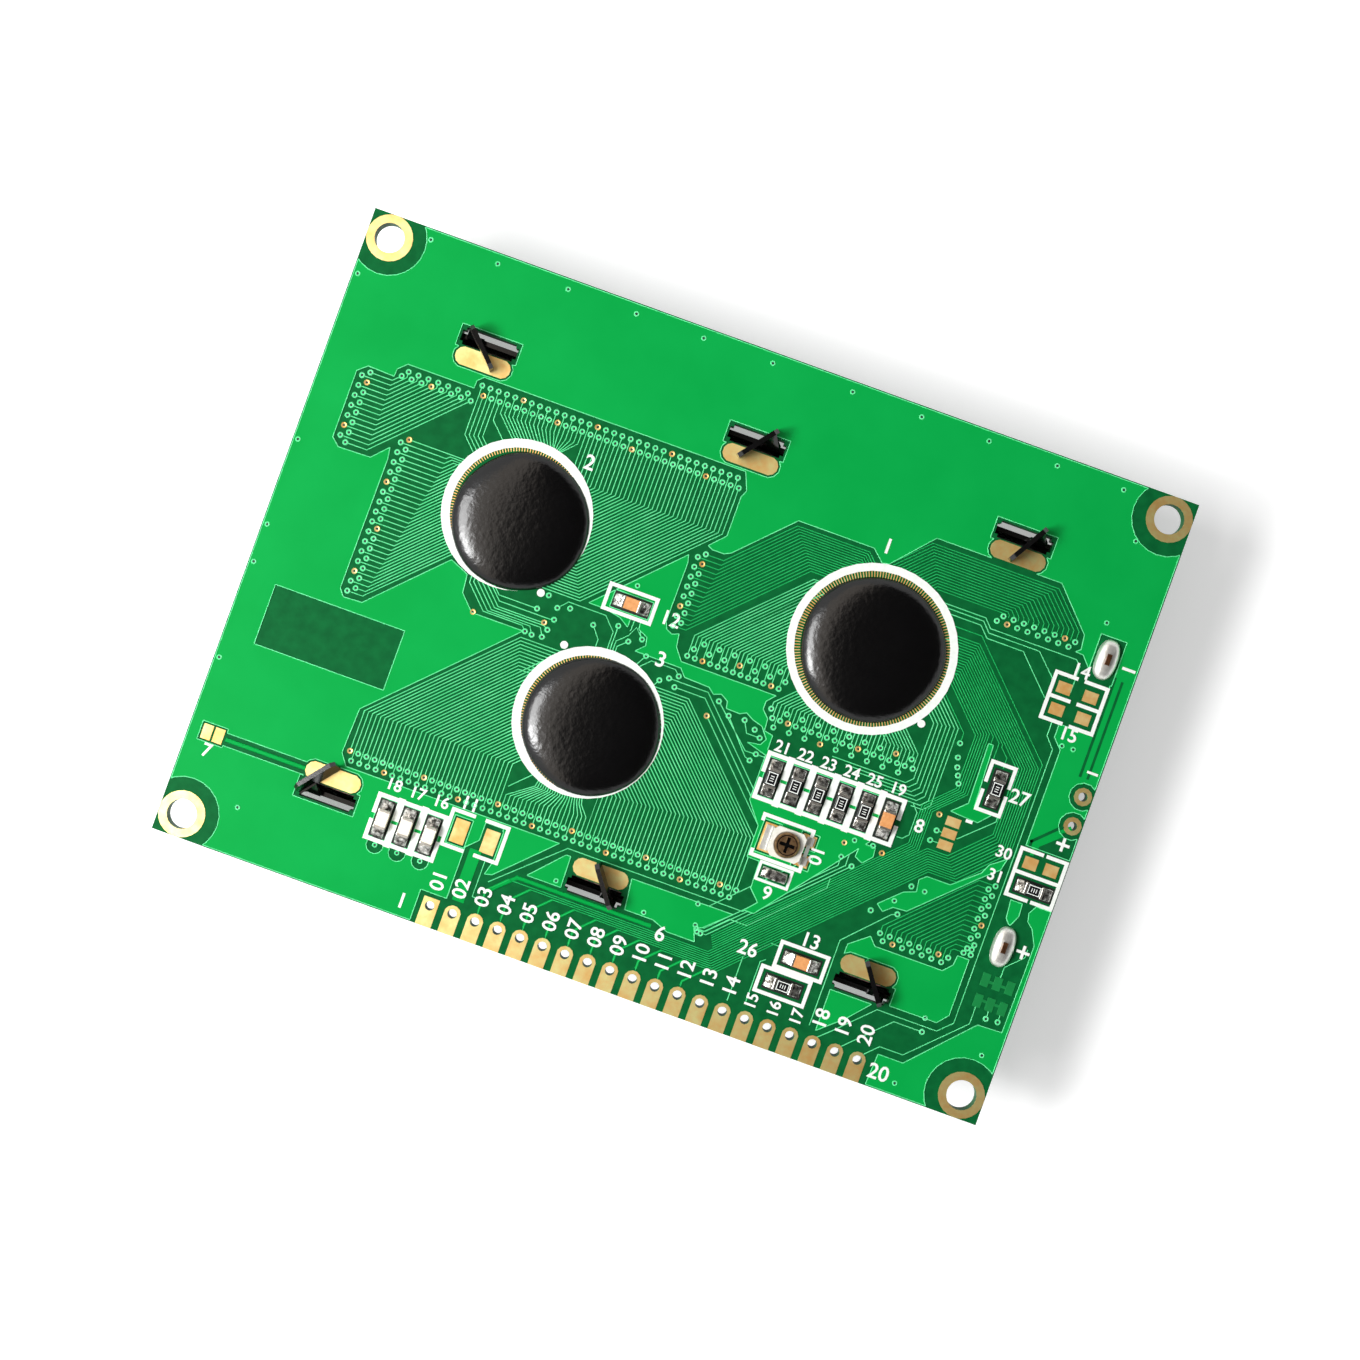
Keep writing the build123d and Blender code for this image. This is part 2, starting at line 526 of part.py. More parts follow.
# Bezel: a folded tray with the viewing window in its floor, and six hook tabs. Its walls
# are folded one by one, so they meet in mitred corners.
with BuildPart() as bezel:
    with BuildSketch():
        Rectangle(BEZEL_LENGTH, BEZEL_WIDTH)
    extrude(amount=Z_BOARD)
    fillet(bezel.edges().group_by(Axis.Z)[0], BEZEL_FOLD_R)
    with BuildSketch(Plane.XY.offset(BEZEL_SHEET)):
        Rectangle(BEZEL_LENGTH - 2 * BEZEL_SHEET, BEZEL_WIDTH - 2 * BEZEL_SHEET)
    extrude(amount=Z_BOARD - BEZEL_SHEET, mode=Mode.SUBTRACT)
    with BuildSketch():
        RectangleRounded(WINDOW_LENGTH, WINDOW_WIDTH, WINDOW_CORNER_R)
    extrude(amount=BEZEL_SHEET, mode=Mode.SUBTRACT)
    chamfer(
        bezel.faces().sort_by(Axis.Z)[0].inner_wires()[0].edges(),
        WINDOW_BEVEL,
    )
    # Notches that let the backlight leads out
    NOTCH_LOW = Z_GUIDE + LIGHT_GUIDE / 2 - LEAD_THICKNESS - LEAD_GAP
    for lead_x, lead_y in LEADS:
        with BuildSketch(Plane.YZ.offset(BEZEL_LENGTH / 2 - 2 * BEZEL_SHEET)):
            with Locations((lead_y, (NOTCH_LOW + Z_BOARD) / 2)):
                Rectangle(LEAD_NOTCH_WIDTH, Z_BOARD - NOTCH_LOW)
        extrude(amount=3 * BEZEL_SHEET, mode=Mode.SUBTRACT)
    for x, row, side, swing, carry, lean, overhang in TABS:
        # The way the head points, from its neck end to its free end over the pad
        turn = math.radians(swing)
        along = Vector(-side * math.cos(turn), -row * math.sin(turn), 0)
        across = Vector(-side * math.sin(turn), row * math.cos(turn), 0)
        root = Vector(x + side * NECK_OFFSET, row * WALL_Y, 0)
        # The neck rises straight out of the wall, then twists and is carried outwards
        with BuildSketch(Plane.XY.offset(Z_BOARD - BEZEL_SHEET)):
            with Locations((root.X, root.Y)):
                Rectangle(NECK_WIDTH, BEZEL_SHEET)
        extrude(amount=Z_BACK - TWIST_BELOW - Z_BOARD + BEZEL_SHEET)
        for z, share in [(Z_BACK - TWIST_BELOW, 0.0), (Z_BACK + TWIST_ABOVE, 1.0)]:
            with BuildSketch(
                Plane(
                    origin=root + across * carry * share + Vector(0, 0, z),
                    x_dir=Vector(1, 0, 0).rotate(Axis.Z, side * row * swing * share),
                    z_dir=(0, 0, 1),
                )
            ):
                Rectangle(NECK_WIDTH, BEZEL_SHEET)
        loft(ruled=True)
        # The head, a flat blade standing on the pad
        top = root + across * carry
        tilt = math.radians(lean)
        up = across * math.sin(tilt) + Vector(0, 0, 1) * math.cos(tilt)
        foot = Z_FOIL + HEAD_GAP + BEZEL_SHEET / 2 * abs(math.sin(tilt))
        with BuildSketch(
            Plane(origin=top + Vector(0, 0, foot), x_dir=along, z_dir=along.cross(up))
        ):
            with BuildLine():
                Polyline(
                    (-overhang, 0),
                    (HEAD_LENGTH - overhang, 0),
                    (HEAD_LENGTH - overhang, HEAD_HEIGHT - HEAD_CORNER),
                    (HEAD_LENGTH - overhang - HEAD_CORNER, HEAD_HEIGHT),
                    (HEAD_CORNER - overhang, HEAD_HEIGHT),
                    (-overhang, HEAD_HEIGHT - HEAD_CORNER),
                    close=True,
                )
            make_face()
        extrude(amount=BEZEL_SHEET / 2, both=True)
save(bezel, "bezel")

# Glass cell: the front plate carries the contact ledges, so the rear plate is smaller
GLASS_X = BEZEL_LENGTH / 2 - BEZEL_SHEET - GLASS_GAP
GLASS_Y = BEZEL_WIDTH / 2 - BEZEL_SHEET - GLASS_GAP
REAR_LEFT = -GLASS_X + CONTACT_LEDGE
REAR_MID = (REAR_LEFT + GLASS_X) / 2
REAR_LENGTH = GLASS_X - REAR_LEFT
REAR_WIDTH = 2 * (GLASS_Y - CONTACT_LEDGE)
with BuildPart() as front_polarizer:
    with BuildSketch(Plane.XY.offset(Z_POLARIZER)):
        Rectangle(2 * (GLASS_X - POLARIZER_INSET), 2 * (GLASS_Y - POLARIZER_INSET))
    extrude(amount=POLARIZER)
save(front_polarizer, "front_polarizer")

with BuildPart() as front_glass:
    with BuildSketch(Plane.XY.offset(Z_FRONT_GLASS)):
        Rectangle(2 * GLASS_X, 2 * GLASS_Y)
    extrude(amount=GLASS)
save(front_glass, "front_glass")

with BuildPart() as rear_glass:
    with BuildSketch(Plane.XY.offset(Z_REAR_GLASS)):
        with Locations((REAR_MID, 0)):
            Rectangle(REAR_LENGTH, REAR_WIDTH)
    extrude(amount=GLASS)
save(rear_glass, "rear_glass")

# Rubber contact strips from the glass ledges up to the board
STRIP_Y = GLASS_Y - STRIP_INSET - STRIP_THICKNESS / 2
STRIP_X = -GLASS_X + STRIP_INSET + STRIP_THICKNESS / 2
for name, x, y, length, width in [
    ("contact_strip_top", 0, STRIP_Y, STRIP_LENGTH, STRIP_THICKNESS),
    ("contact_strip_bottom", 0, -STRIP_Y, STRIP_LENGTH, STRIP_THICKNESS),
    ("contact_strip_side", STRIP_X, 0, STRIP_THICKNESS, SIDE_STRIP_LENGTH),
]:
    with BuildPart() as contact_strip:
        with BuildSketch(Plane.XY.offset(Z_REAR_GLASS)):
            with Locations((x, y)):
                Rectangle(length, width)
        extrude(amount=Z_BOARD - Z_REAR_GLASS)
    save(contact_strip, name)

# Backlight housing: a tray that holds the light sheets and carries the board on its rim
HOUSING_LEFT = STRIP_X + STRIP_THICKNESS / 2 + HOUSING_GAP
HOUSING_RIGHT = GLASS_X
HOUSING_MID = (HOUSING_LEFT + HOUSING_RIGHT) / 2
HOUSING_LENGTH = HOUSING_RIGHT - HOUSING_LEFT
HOUSING_WIDTH = 2 * (STRIP_Y - STRIP_THICKNESS / 2 - HOUSING_GAP)
WELL_LENGTH = HOUSING_LENGTH - 2 * HOUSING_WALL
WELL_WIDTH = HOUSING_WIDTH - 2 * HOUSING_WALL
LEAD_Z = Z_GUIDE + LIGHT_GUIDE / 2
with BuildPart() as backlight_housing:
    with BuildSketch(Plane.XY.offset(Z_REAR_POLARIZER)):
        with Locations((HOUSING_MID, 0)):
            Rectangle(HOUSING_LENGTH, HOUSING_WIDTH)
    extrude(amount=Z_BOARD - Z_REAR_POLARIZER)
    with BuildSketch(Plane.XY.offset(Z_REAR_POLARIZER)):
        with Locations((HOUSING_MID, 0)):
            Rectangle(WELL_LENGTH, WELL_WIDTH)
    extrude(amount=Z_FLOOR - Z_REAR_POLARIZER, mode=Mode.SUBTRACT)
    with BuildSketch(Plane.XY.offset(Z_FLOOR + HOUSING_FLOOR)):
        with Locations((HOUSING_MID, 0)):
            Rectangle(WELL_LENGTH, WELL_WIDTH)
            with GridLocations(RIB_SPACING, 0, 2, 1):
                Rectangle(RIB_WIDTH, WELL_WIDTH, mode=Mode.SUBTRACT)
    extrude(amount=HOUSING_RIM, mode=Mode.SUBTRACT)
    # Slots in the right wall for the two leads
    for lead_x, lead_y in LEADS:
        with BuildSketch(Plane.YZ.offset(HOUSING_RIGHT - 1.5 * HOUSING_WALL)):
            with Locations((lead_y, LEAD_Z)):
                Rectangle(LEAD_WIDTH + 2 * LEAD_GAP, LEAD_THICKNESS + 2 * LEAD_GAP)
        extrude(amount=2 * HOUSING_WALL, mode=Mode.SUBTRACT)
save(backlight_housing, "backlight_housing")

# Light sheets in the housing's well
WELL_RIGHT = HOUSING_RIGHT - HOUSING_WALL
WELL_LEFT = HOUSING_LEFT + HOUSING_WALL
SHEET_RIGHT = WELL_RIGHT - LED_BOARD_THICKNESS - LED_DEPTH - 2 * SHEET_GAP
SHEET_LEFT = WELL_LEFT + SHEET_GAP
SHEET_MID = (SHEET_LEFT + SHEET_RIGHT) / 2
SHEET_LENGTH = SHEET_RIGHT - SHEET_LEFT
SHEET_WIDTH = WELL_WIDTH - 2 * SHEET_GAP
for name, z, thickness in [
    ("diffuser", Z_DIFFUSER, DIFFUSER),
    ("light_guide", Z_GUIDE, LIGHT_GUIDE),
    ("reflector", Z_REFLECTOR, REFLECTOR),
]:
    with BuildPart() as light_sheet:
        with BuildSketch(Plane.XY.offset(z)):
            with Locations((SHEET_MID, 0)):
                Rectangle(SHEET_LENGTH, SHEET_WIDTH)
        extrude(amount=thickness)
    save(light_sheet, name)

# Rear polarizer, on the glass inside the housing's frame
with BuildPart() as rear_polarizer:
    with BuildSketch(Plane.XY.offset(Z_REAR_POLARIZER)):
        with Locations((HOUSING_MID, 0)):
            Rectangle(WELL_LENGTH - 2 * SHEET_GAP, WELL_WIDTH - 2 * SHEET_GAP)
    extrude(amount=POLARIZER)
save(rear_polarizer, "rear_polarizer")

# Strip of lamps at the light guide's right edge
LED_BOARD_X = WELL_RIGHT - LED_BOARD_THICKNESS / 2
with BuildPart() as led_board:
    with BuildSketch(Plane.XY.offset(Z_GUIDE)):
        with Locations((LED_BOARD_X, 0)):
            Rectangle(LED_BOARD_THICKNESS, LED_BOARD_LENGTH)
    extrude(amount=LIGHT_GUIDE)
save(led_board, "led_board")

with BuildPart() as backlight_leds:
    with BuildSketch(Plane.XY.offset(LEAD_Z - LED_HEIGHT / 2)):
        with Locations((LED_BOARD_X - LED_BOARD_THICKNESS / 2 - LED_DEPTH / 2, 0)):
            with GridLocations(0, LED_PITCH, 1, LED_COUNT):
                Rectangle(LED_DEPTH, LED_LENGTH)
    extrude(amount=LED_HEIGHT)
save(backlight_leds, "backlight_leds")

# Backlight leads: flat pins that run out of the housing and turn up through the board
LEAD_HALF = LEAD_THICKNESS / 2
LEAD_TOP = Z_BACK + LEAD_RISE
for name, (lead_x, lead_y) in zip(["backlight_lead_k", "backlight_lead_a"], LEADS):
    with BuildPart() as backlight_lead:
        with BuildSketch(Plane.XZ.offset(-lead_y)):
            with BuildLine():
                lower = FilletPolyline(
                    (WELL_RIGHT, LEAD_Z - LEAD_HALF),
                    (lead_x + LEAD_HALF, LEAD_Z - LEAD_HALF),
                    (lead_x + LEAD_HALF, LEAD_TOP),
                    radius=LEAD_BEND_R + LEAD_THICKNESS,
                )
                upper = FilletPolyline(
                    (WELL_RIGHT, LEAD_Z + LEAD_HALF),
                    (lead_x - LEAD_HALF, LEAD_Z + LEAD_HALF),
                    (lead_x - LEAD_HALF, LEAD_TOP),
                    radius=LEAD_BEND_R,
                )
                Line(lower @ 0, upper @ 0)
                Line(lower @ 1, upper @ 1)
            make_face()
        extrude(amount=LEAD_WIDTH / 2, both=True)
    save(backlight_lead, name)

# Drops of solder that hold the leads in their slots
for name, (lead_x, lead_y) in zip(["solder_k", "solder_a"], LEADS):
    with BuildPart() as lead_solder:
        with BuildSketch(Plane.XY.offset(Z_BACK)) as footprint:
            with Locations((lead_x, lead_y)):
                Rectangle(SOLDER_WIDTH, SOLDER_LENGTH)
            chamfer(footprint.vertices(), SOLDER_CORNER)
        extrude(amount=SOLDER_HEIGHT)
        chamfer(lead_solder.edges().group_by(Axis.Z)[-1], SOLDER_SLOPE_DOWN, SOLDER_SLOPE_IN)
        with BuildSketch(Plane.XY.offset(Z_BACK)):
            with Locations((lead_x, lead_y)):
                Rectangle(LEAD_THICKNESS, LEAD_WIDTH)
        extrude(amount=SOLDER_HEIGHT, mode=Mode.SUBTRACT)
    save(lead_solder, name)

# Printed rings round the driver chips, hidden where the epoxy has run over them
with BuildPart() as print_rings:
    with BuildSketch(Plane.XY.offset(Z_BACK)):
        for name, ring, ring_r, inner_r, drop, drop_r, height in DRIVERS:
            with Locations(at(*ring)):
                RegularPolygon(ring_r, RING_SIDES)
                RegularPolygon(inner_r, RING_SIDES, mode=Mode.SUBTRACT)
        for name, ring, ring_r, inner_r, drop, drop_r, height in DRIVERS:
            with Locations(at(*drop)):
                RegularPolygon(drop_r, RING_SIDES, mode=Mode.SUBTRACT)
    extrude(amount=FOIL + PRINT)
save(print_rings, "print_rings")

# Epoxy drops over the driver chips: a steep rim that runs up into a flat dome
for name, ring, ring_r, inner_r, drop, drop_r, height in DRIVERS:
    with BuildPart() as epoxy_drop:
        for (step_in, rise), (next_in, next_rise) in zip(DROP_SECTION, DROP_SECTION[1:]):
            with BuildSketch(Plane.XY.offset(Z_BACK + height * rise)):
                with Locations(at(*drop)):
                    RegularPolygon(drop_r - step_in, RING_SIDES)
            run = (next_in - step_in) * math.cos(math.pi / RING_SIDES)
            climb = height * (next_rise - rise)
            extrude(amount=climb, taper=math.degrees(math.atan2(run, climb)))
    save(epoxy_drop, name)

# Chips: a body between two end caps that stand a little proud of it
SIZES = [(RESISTORS, RESISTOR_HEIGHT), (CAPACITORS, CAPACITOR_HEIGHT)]
for chips, height in SIZES:
    for name, x, y, along_x in chips:
        px, py = at(x, y)
        turned = Plane(origin=(px, py, Z_FOIL), x_dir=(1, 0, 0) if along_x else (0, 1, 0), z_dir=(0, 0, 1))
        with BuildPart() as chip:
            with BuildSketch(turned):
                Rectangle(CHIP_LENGTH, CHIP_WIDTH)
            extrude(amount=height)
            with BuildSketch(turned):
                with Locations((-(CHIP_LENGTH - CHIP_CAP) / 2, 0), ((CHIP_LENGTH - CHIP_CAP) / 2, 0)):
                    Rectangle(CHIP_CAP, CHIP_WIDTH + 2 * CHIP_CAP_PROUD)
            extrude(amount=height + CHIP_CAP_PROUD)
        save(chip, name)

# Solder fillets at the ends of the chips
with BuildPart() as solder_fillets:
    for chips, height in SIZES:
        for name, x, y, along_x in chips:
            px, py = at(x, y)
            for side in (-1, 1):
                out = Vector(side, 0, 0) if along_x else Vector(0, side, 0)
                foot = Vector(px, py, Z_FOIL) + out * (CHIP_LENGTH / 2)
                with BuildSketch(Plane(origin=foot, x_dir=out, z_dir=out.cross(Vector(0, 0, 1)))):
                    with BuildLine():
                        Polyline((0, 0), (FILLET_REACH, 0), (0, height * FILLET_RISE), close=True)
                    make_face()
                extrude(amount=CHIP_WIDTH / 2, both=True)
save(solder_fillets, "solder_fillets")

# Drop of solder that closes the link
with BuildPart() as solder_link:
    with BuildSketch(Plane.XY.offset(Z_FOIL)):
        with Locations(at(*LINK_PLACE)):
            Rectangle(LINK_GAP + 2 * LINK_PAD_LENGTH - LINK_INSET, LINK_PAD_WIDTH - LINK_INSET)
    extrude(amount=LINK_HEIGHT)
    chamfer(solder_link.edges().group_by(Axis.Z)[-1], LINK_SLOPE_DOWN, LINK_SLOPE_IN)
save(solder_link, "solder_link")

# Trimmer: a moulded base with a shallow well, and a bore in it for the rotor's spindle
trimmer_x, trimmer_y = at(*TRIMMER_PLACE)
Z_TRIMMER = Z_FOIL + TRIMMER_HEIGHT
Z_WELL = Z_TRIMMER - TRIMMER_WELL_DEPTH
Z_SPINDLE = Z_WELL - SPINDLE_LENGTH
with BuildPart() as trimmer_base:
    with BuildSketch(Plane.XY.offset(Z_FOIL)) as base_outline:
        with Locations((trimmer_x, trimmer_y)):
            Rectangle(TRIMMER_LENGTH, TRIMMER_WIDTH)
        chamfer(base_outline.vertices(), TRIMMER_CORNER)
    extrude(amount=TRIMMER_HEIGHT)
    with BuildSketch(Plane.XY.offset(Z_WELL)):
        with Locations((trimmer_x, trimmer_y)):
            Circle(ROTOR_D / 2 + WELL_GAP)
    extrude(amount=TRIMMER_WELL_DEPTH, mode=Mode.SUBTRACT)
    with BuildSketch(Plane.XY.offset(Z_SPINDLE)):
        with Locations((trimmer_x, trimmer_y)):
            Circle(SPINDLE_D / 2 + ROTOR_GAP)
    extrude(amount=SPINDLE_LENGTH, mode=Mode.SUBTRACT)
save(trimmer_base, "trimmer_base")

# Trimmer rotor: a slotted disc on a spindle
with BuildPart() as trimmer_rotor:
    with BuildSketch(Plane.XY.offset(Z_WELL + ROTOR_GAP)):
        with Locations((trimmer_x, trimmer_y)):
            Circle(ROTOR_D / 2)
    extrude(amount=ROTOR_HEIGHT)
    chamfer(trimmer_rotor.edges().group_by(Axis.Z)[-1], ROTOR_CHAMFER)
    with BuildSketch(Plane.XY.offset(Z_WELL + ROTOR_GAP + ROTOR_HEIGHT - ROTOR_SLOT_DEPTH)):
        with Locations((trimmer_x, trimmer_y)):
            Rectangle(ROTOR_SLOT_LENGTH, ROTOR_SLOT_WIDTH)
            Rectangle(ROTOR_SLOT_WIDTH, ROTOR_SLOT_LENGTH)
    extrude(amount=ROTOR_SLOT_DEPTH, mode=Mode.SUBTRACT)
    with BuildSketch(Plane.XY.offset(Z_SPINDLE + ROTOR_GAP)):
        with Locations((trimmer_x, trimmer_y)):
            Circle(SPINDLE_D / 2)
    extrude(amount=SPINDLE_LENGTH)
save(trimmer_rotor, "trimmer_rotor")

# Trimmer terminals: strips that lie on the pads and turn up against the base
with BuildPart() as trimmer_terminals:
    for side, offset_y, width in TRIMMER_TERMINALS:
        foot = Vector(trimmer_x + side * TRIMMER_LENGTH / 2, trimmer_y + offset_y, Z_FOIL)
        out = Vector(side, 0, 0)
        with BuildSketch(Plane(origin=foot, x_dir=out, z_dir=out.cross(Vector(0, 0, 1)))):
            with BuildLine():
                Polyline(
                    (0, 0),
                    (TERMINAL_REACH, 0),
                    (TERMINAL_REACH, TERMINAL_THICKNESS),
                    (TERMINAL_THICKNESS, TERMINAL_THICKNESS),
                    (TERMINAL_THICKNESS, TERMINAL_RISE),
                    (0, TERMINAL_RISE),
                    close=True,
                )
            make_face()
        extrude(amount=width / 2, both=True)
save(trimmer_terminals, "trimmer_terminals")
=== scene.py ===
import bpy
import bmesh
import math
from mathutils import Matrix, Vector


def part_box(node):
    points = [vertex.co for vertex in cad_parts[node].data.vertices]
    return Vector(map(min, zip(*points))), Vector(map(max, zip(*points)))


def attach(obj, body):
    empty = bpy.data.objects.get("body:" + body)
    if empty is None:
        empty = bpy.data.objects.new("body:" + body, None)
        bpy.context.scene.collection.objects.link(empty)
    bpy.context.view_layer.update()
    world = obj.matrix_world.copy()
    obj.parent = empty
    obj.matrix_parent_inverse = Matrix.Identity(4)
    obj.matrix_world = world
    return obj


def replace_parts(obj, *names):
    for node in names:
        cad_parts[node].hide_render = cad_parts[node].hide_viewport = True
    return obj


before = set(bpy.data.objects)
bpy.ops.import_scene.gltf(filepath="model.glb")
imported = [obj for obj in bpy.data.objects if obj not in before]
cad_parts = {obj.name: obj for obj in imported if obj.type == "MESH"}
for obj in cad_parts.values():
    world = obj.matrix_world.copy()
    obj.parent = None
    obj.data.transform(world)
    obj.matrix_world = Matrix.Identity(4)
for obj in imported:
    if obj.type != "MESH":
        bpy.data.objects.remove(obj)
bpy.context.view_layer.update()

# ------------------------------------------------------------------------------------
# Places on the board. A layout point is in millimetres from the upper left corner of the
# board, x right and y down, as the solids' own source reads them.
# ------------------------------------------------------------------------------------
MM = 0.001
HALF_LENGTH = 46.5
HALF_WIDTH = 35.0
BOARD_TOP = 11.0
FOIL_TOP = 11.05
PRINT_TOP = 11.08


def at(x, y, z=BOARD_TOP):
    """A layout point in the frame of the module, in metres."""
    return Vector(((x - HALF_LENGTH) * MM, (HALF_WIDTH - y) * MM, z * MM))


# Middle of each printed ring under which the tracks end, and that ring's middle radius
RINGS = {"east": (65.5, 26.15, 8.7), "west": (25.2, 25.55, 7.65), "south": (39.75, 43.75, 7.65)}

# Header pads, from the left
HEADER_MIDDLE = 54.7
HEADER_PITCH = 2.54
HEADER_PADS = 20
PAD_X = [HEADER_MIDDLE + (i - (HEADER_PADS - 1) / 2) * HEADER_PITCH for i in range(HEADER_PADS)]


def new_object(name, data):
    """An object of the scene that shows some data."""
    made = bpy.data.objects.new(name, data)
    bpy.context.scene.collection.objects.link(made)
    return made


# ------------------------------------------------------------------------------------
# Camera and lamps
# ------------------------------------------------------------------------------------
# The camera looks straight down on the board, which is turned in the picture. At the board's
# level the picture reaches this far to each side of its middle.
CAMERA_DISTANCE = 220.0
HALF_VIEW = 72.2
VIEW_TURN = 19.85

lens = bpy.data.cameras.new("camera")
lens.sensor_width = 36.0
lens.angle = 2 * math.atan(HALF_VIEW / CAMERA_DISTANCE)
camera = new_object("camera", lens)
camera.location = (0.935 * MM, -1.183 * MM, (BOARD_TOP + CAMERA_DISTANCE) * MM)
camera.rotation_euler = (0, 0, math.radians(VIEW_TURN))
bpy.context.scene.camera = camera

LAMP_AIM = Vector((0, 0, 0.01))


def lamp(name, place, size, power, shine=True):
    """A soft rectangular lamp that looks at the board. One that doesn't shine isn't in gloss."""
    data = bpy.data.lights.new(name, "AREA")
    data.shape = "RECTANGLE"
    data.size, data.size_y = size
    data.energy = power
    made = new_object(name, data)
    made.location = place
    made.rotation_euler = (LAMP_AIM - Vector(place)).to_track_quat("-Z", "Y").to_euler()
    made.visible_glossy = shine


lamp("key_from_the_left", (-0.29, -0.08, 0.32), (0.30, 0.16), 2.0)
lamp("glint_from_the_left", (-0.26, -0.15, 0.30), (0.10, 0.07), 0.5)
lamp("fill_from_above", (0.06, 0.12, 0.60), (0.5, 0.5), 0.15, shine=False)


# ------------------------------------------------------------------------------------
# Materials
# ------------------------------------------------------------------------------------
def hue(code):
    """An sRGB hex colour as linear values."""
    parts = [int(code[i:i + 2], 16) / 255 for i in (1, 3, 5)]
    return tuple(p / 12.92 if p <= 0.04045 else ((p + 0.055) / 1.055) ** 2.4 for p in parts) + (1.0,)


def fresh_tree(owner):
    """The emptied node tree of a material or of the world."""
    owner.use_nodes = True
    owner.node_tree.nodes.clear()
    return owner.node_tree


def add(tree, kind, inputs=None, **settings):
    """Adds a node with its settings, and sets or links its inputs."""
    made = tree.nodes.new(kind)
    for key, value in settings.items():
        setattr(made, key, value)
    for socket, value in (inputs or {}).items():
        if isinstance(value, bpy.types.NodeSocket):
            tree.links.new(value, made.inputs[socket])
        else:
            made.inputs[socket].default_value = value
    return made


def finish(name, base, other, grain, share=0.5, bump=0.0, bump_grain=0.4, specular=0.5, **surface):
    """A material: two close colours mottled at a grain in mm, and a fine bump at another."""
    made = bpy.data.materials.new(name)
    tree = fresh_tree(made)
    where = add(tree, "ShaderNodeTexCoord").outputs["Object"]
    patch = add(tree, "ShaderNodeTexNoise",
                {"Vector": where, "Scale": 1 / (grain * MM), "Detail": 3.0})
    # Map Range takes its value on 0, the old range on 1 and 2 and the new one on 3 and 4
    spread = add(tree, "ShaderNodeMapRange",
                 {0: patch.outputs[0], 1: 0.3, 2: 0.7, 3: 0.0, 4: 2 * share})
    # Mix takes its share on 0 and its two colours on 6 and 7
    blend = add(tree, "ShaderNodeMix", {0: spread.outputs[0], 6: hue(base), 7: hue(other)},
                data_type="RGBA", clamp_factor=True)
    inputs = {"Base Color": blend.outputs[2], "Specular IOR Level": specular, **surface}
    if bump:
        relief = add(tree, "ShaderNodeTexNoise",
                     {"Vector": where, "Scale": 1 / (bump_grain * MM), "Detail": 2.0})
        tilt = add(tree, "ShaderNodeBump", {"Height": relief.outputs[0], "Distance": bump * MM})
        inputs["Normal"] = tilt.outputs[0]
    skin = add(tree, "ShaderNodeBsdfPrincipled", inputs)
    add(tree, "ShaderNodeOutputMaterial", {"Surface": skin.outputs[0]})
    return made


# Solder mask over copper: a green film, bright because the copper shines through. Like the
# next one it has little gloss of its own, since the photograph shows no glare on it
mask_on_foil = finish("solder_mask_over_copper", "#009B40", "#05A246", grain=9.0, bump=0.006,
                      bump_grain=0.9, specular=0.06, Roughness=0.38, IOR=1.5)
# Solder mask over bare laminate: the same film, dark because the glass cloth swallows light
mask_on_laminate = finish("solder_mask_over_laminate", "#03572A", "#076431", grain=1.1, bump=0.004,
                          bump_grain=0.6, specular=0.06, Roughness=0.42, IOR=1.5)
# Mask on a track: it stands proud on the copper, and its colour, lighter than the mask over the pour,
# is partly a painted highlight on its back. The lip of the pour and the rings of the vias wear it too
mask_with_painted_highlight = finish("solder_mask_painted_highlight", "#58E292", "#74F0A8", grain=2.0, specular=0.2,
                       Roughness=0.35, IOR=1.5)
# Mask on the finest tracks, which are closer together than the film is even: deeper in tone
mask_on_fine_track = finish("solder_mask_over_fine_tracks", "#1CB45C", "#2AC46A", grain=2.0,
                            specular=0.1, Roughness=0.38)
# Mask over thin copper: between the pour and the laminate in tone
mask_on_thin_copper = finish("solder_mask_over_thin_copper", "#0A7C3B", "#0C8541", grain=1.5,
                             specular=0.25, Roughness=0.42)
# Screen print: chalky white ink with a faint grain
screen_print = finish("screen_print_ink", "#F2F5F0", "#E6EBE4", grain=0.5, bump=0.004,
                      bump_grain=0.12, Roughness=0.6)
# Immersion gold on copper: satin, yellow with coppery patches where it is thin
gilt = finish("immersion_gold", "#FFE29C", "#F4B460", grain=1.3, bump=0.006, bump_grain=0.25,
              Metallic=0.7, Roughness=0.46)
# The same gold, thicker, on the mounting, tab, header and spare pads: paler
pale_gilt = finish("immersion_gold_thick", "#FFF3A8", "#FFD080", grain=1.3, bump=0.006,
                   bump_grain=0.25, Metallic=0.95, Roughness=0.42)
# Epoxy: poured and cured black resin, glossy over small dimples
epoxy = finish("black_epoxy", "#040405", "#060607", grain=2.0, bump=0.035, bump_grain=0.6,
               Roughness=0.21, IOR=1.5)
# Lacquered steel: black and glossy, with the fine grain of the sheet
lacquer = finish("black_lacquered_steel", "#060607", "#0B0B0C", grain=0.8, bump=0.004,
                 bump_grain=0.2, specular=0.6, Roughness=0.17, IOR=1.6)
# Tin-lead solder: smooth grey metal, slightly frosted as it froze
solder = finish("tin_solder", "#F8F8F2", "#E4E3DE", grain=0.5, bump=0.03, bump_grain=0.35,
                Metallic=0.85, Roughness=0.4)
# Solder that froze in a small joint: wrinkled. Its bright and dark patches are painted glints and
# painted dark reflections of the wrinkles, and the bump is their real relief
joint_painted_glints = finish("tin_solder_painted_glints", "#FBFAF4", "#45433E", grain=0.45, share=0.6,
                     bump=0.06, bump_grain=0.4, Metallic=0.9, Roughness=0.25)
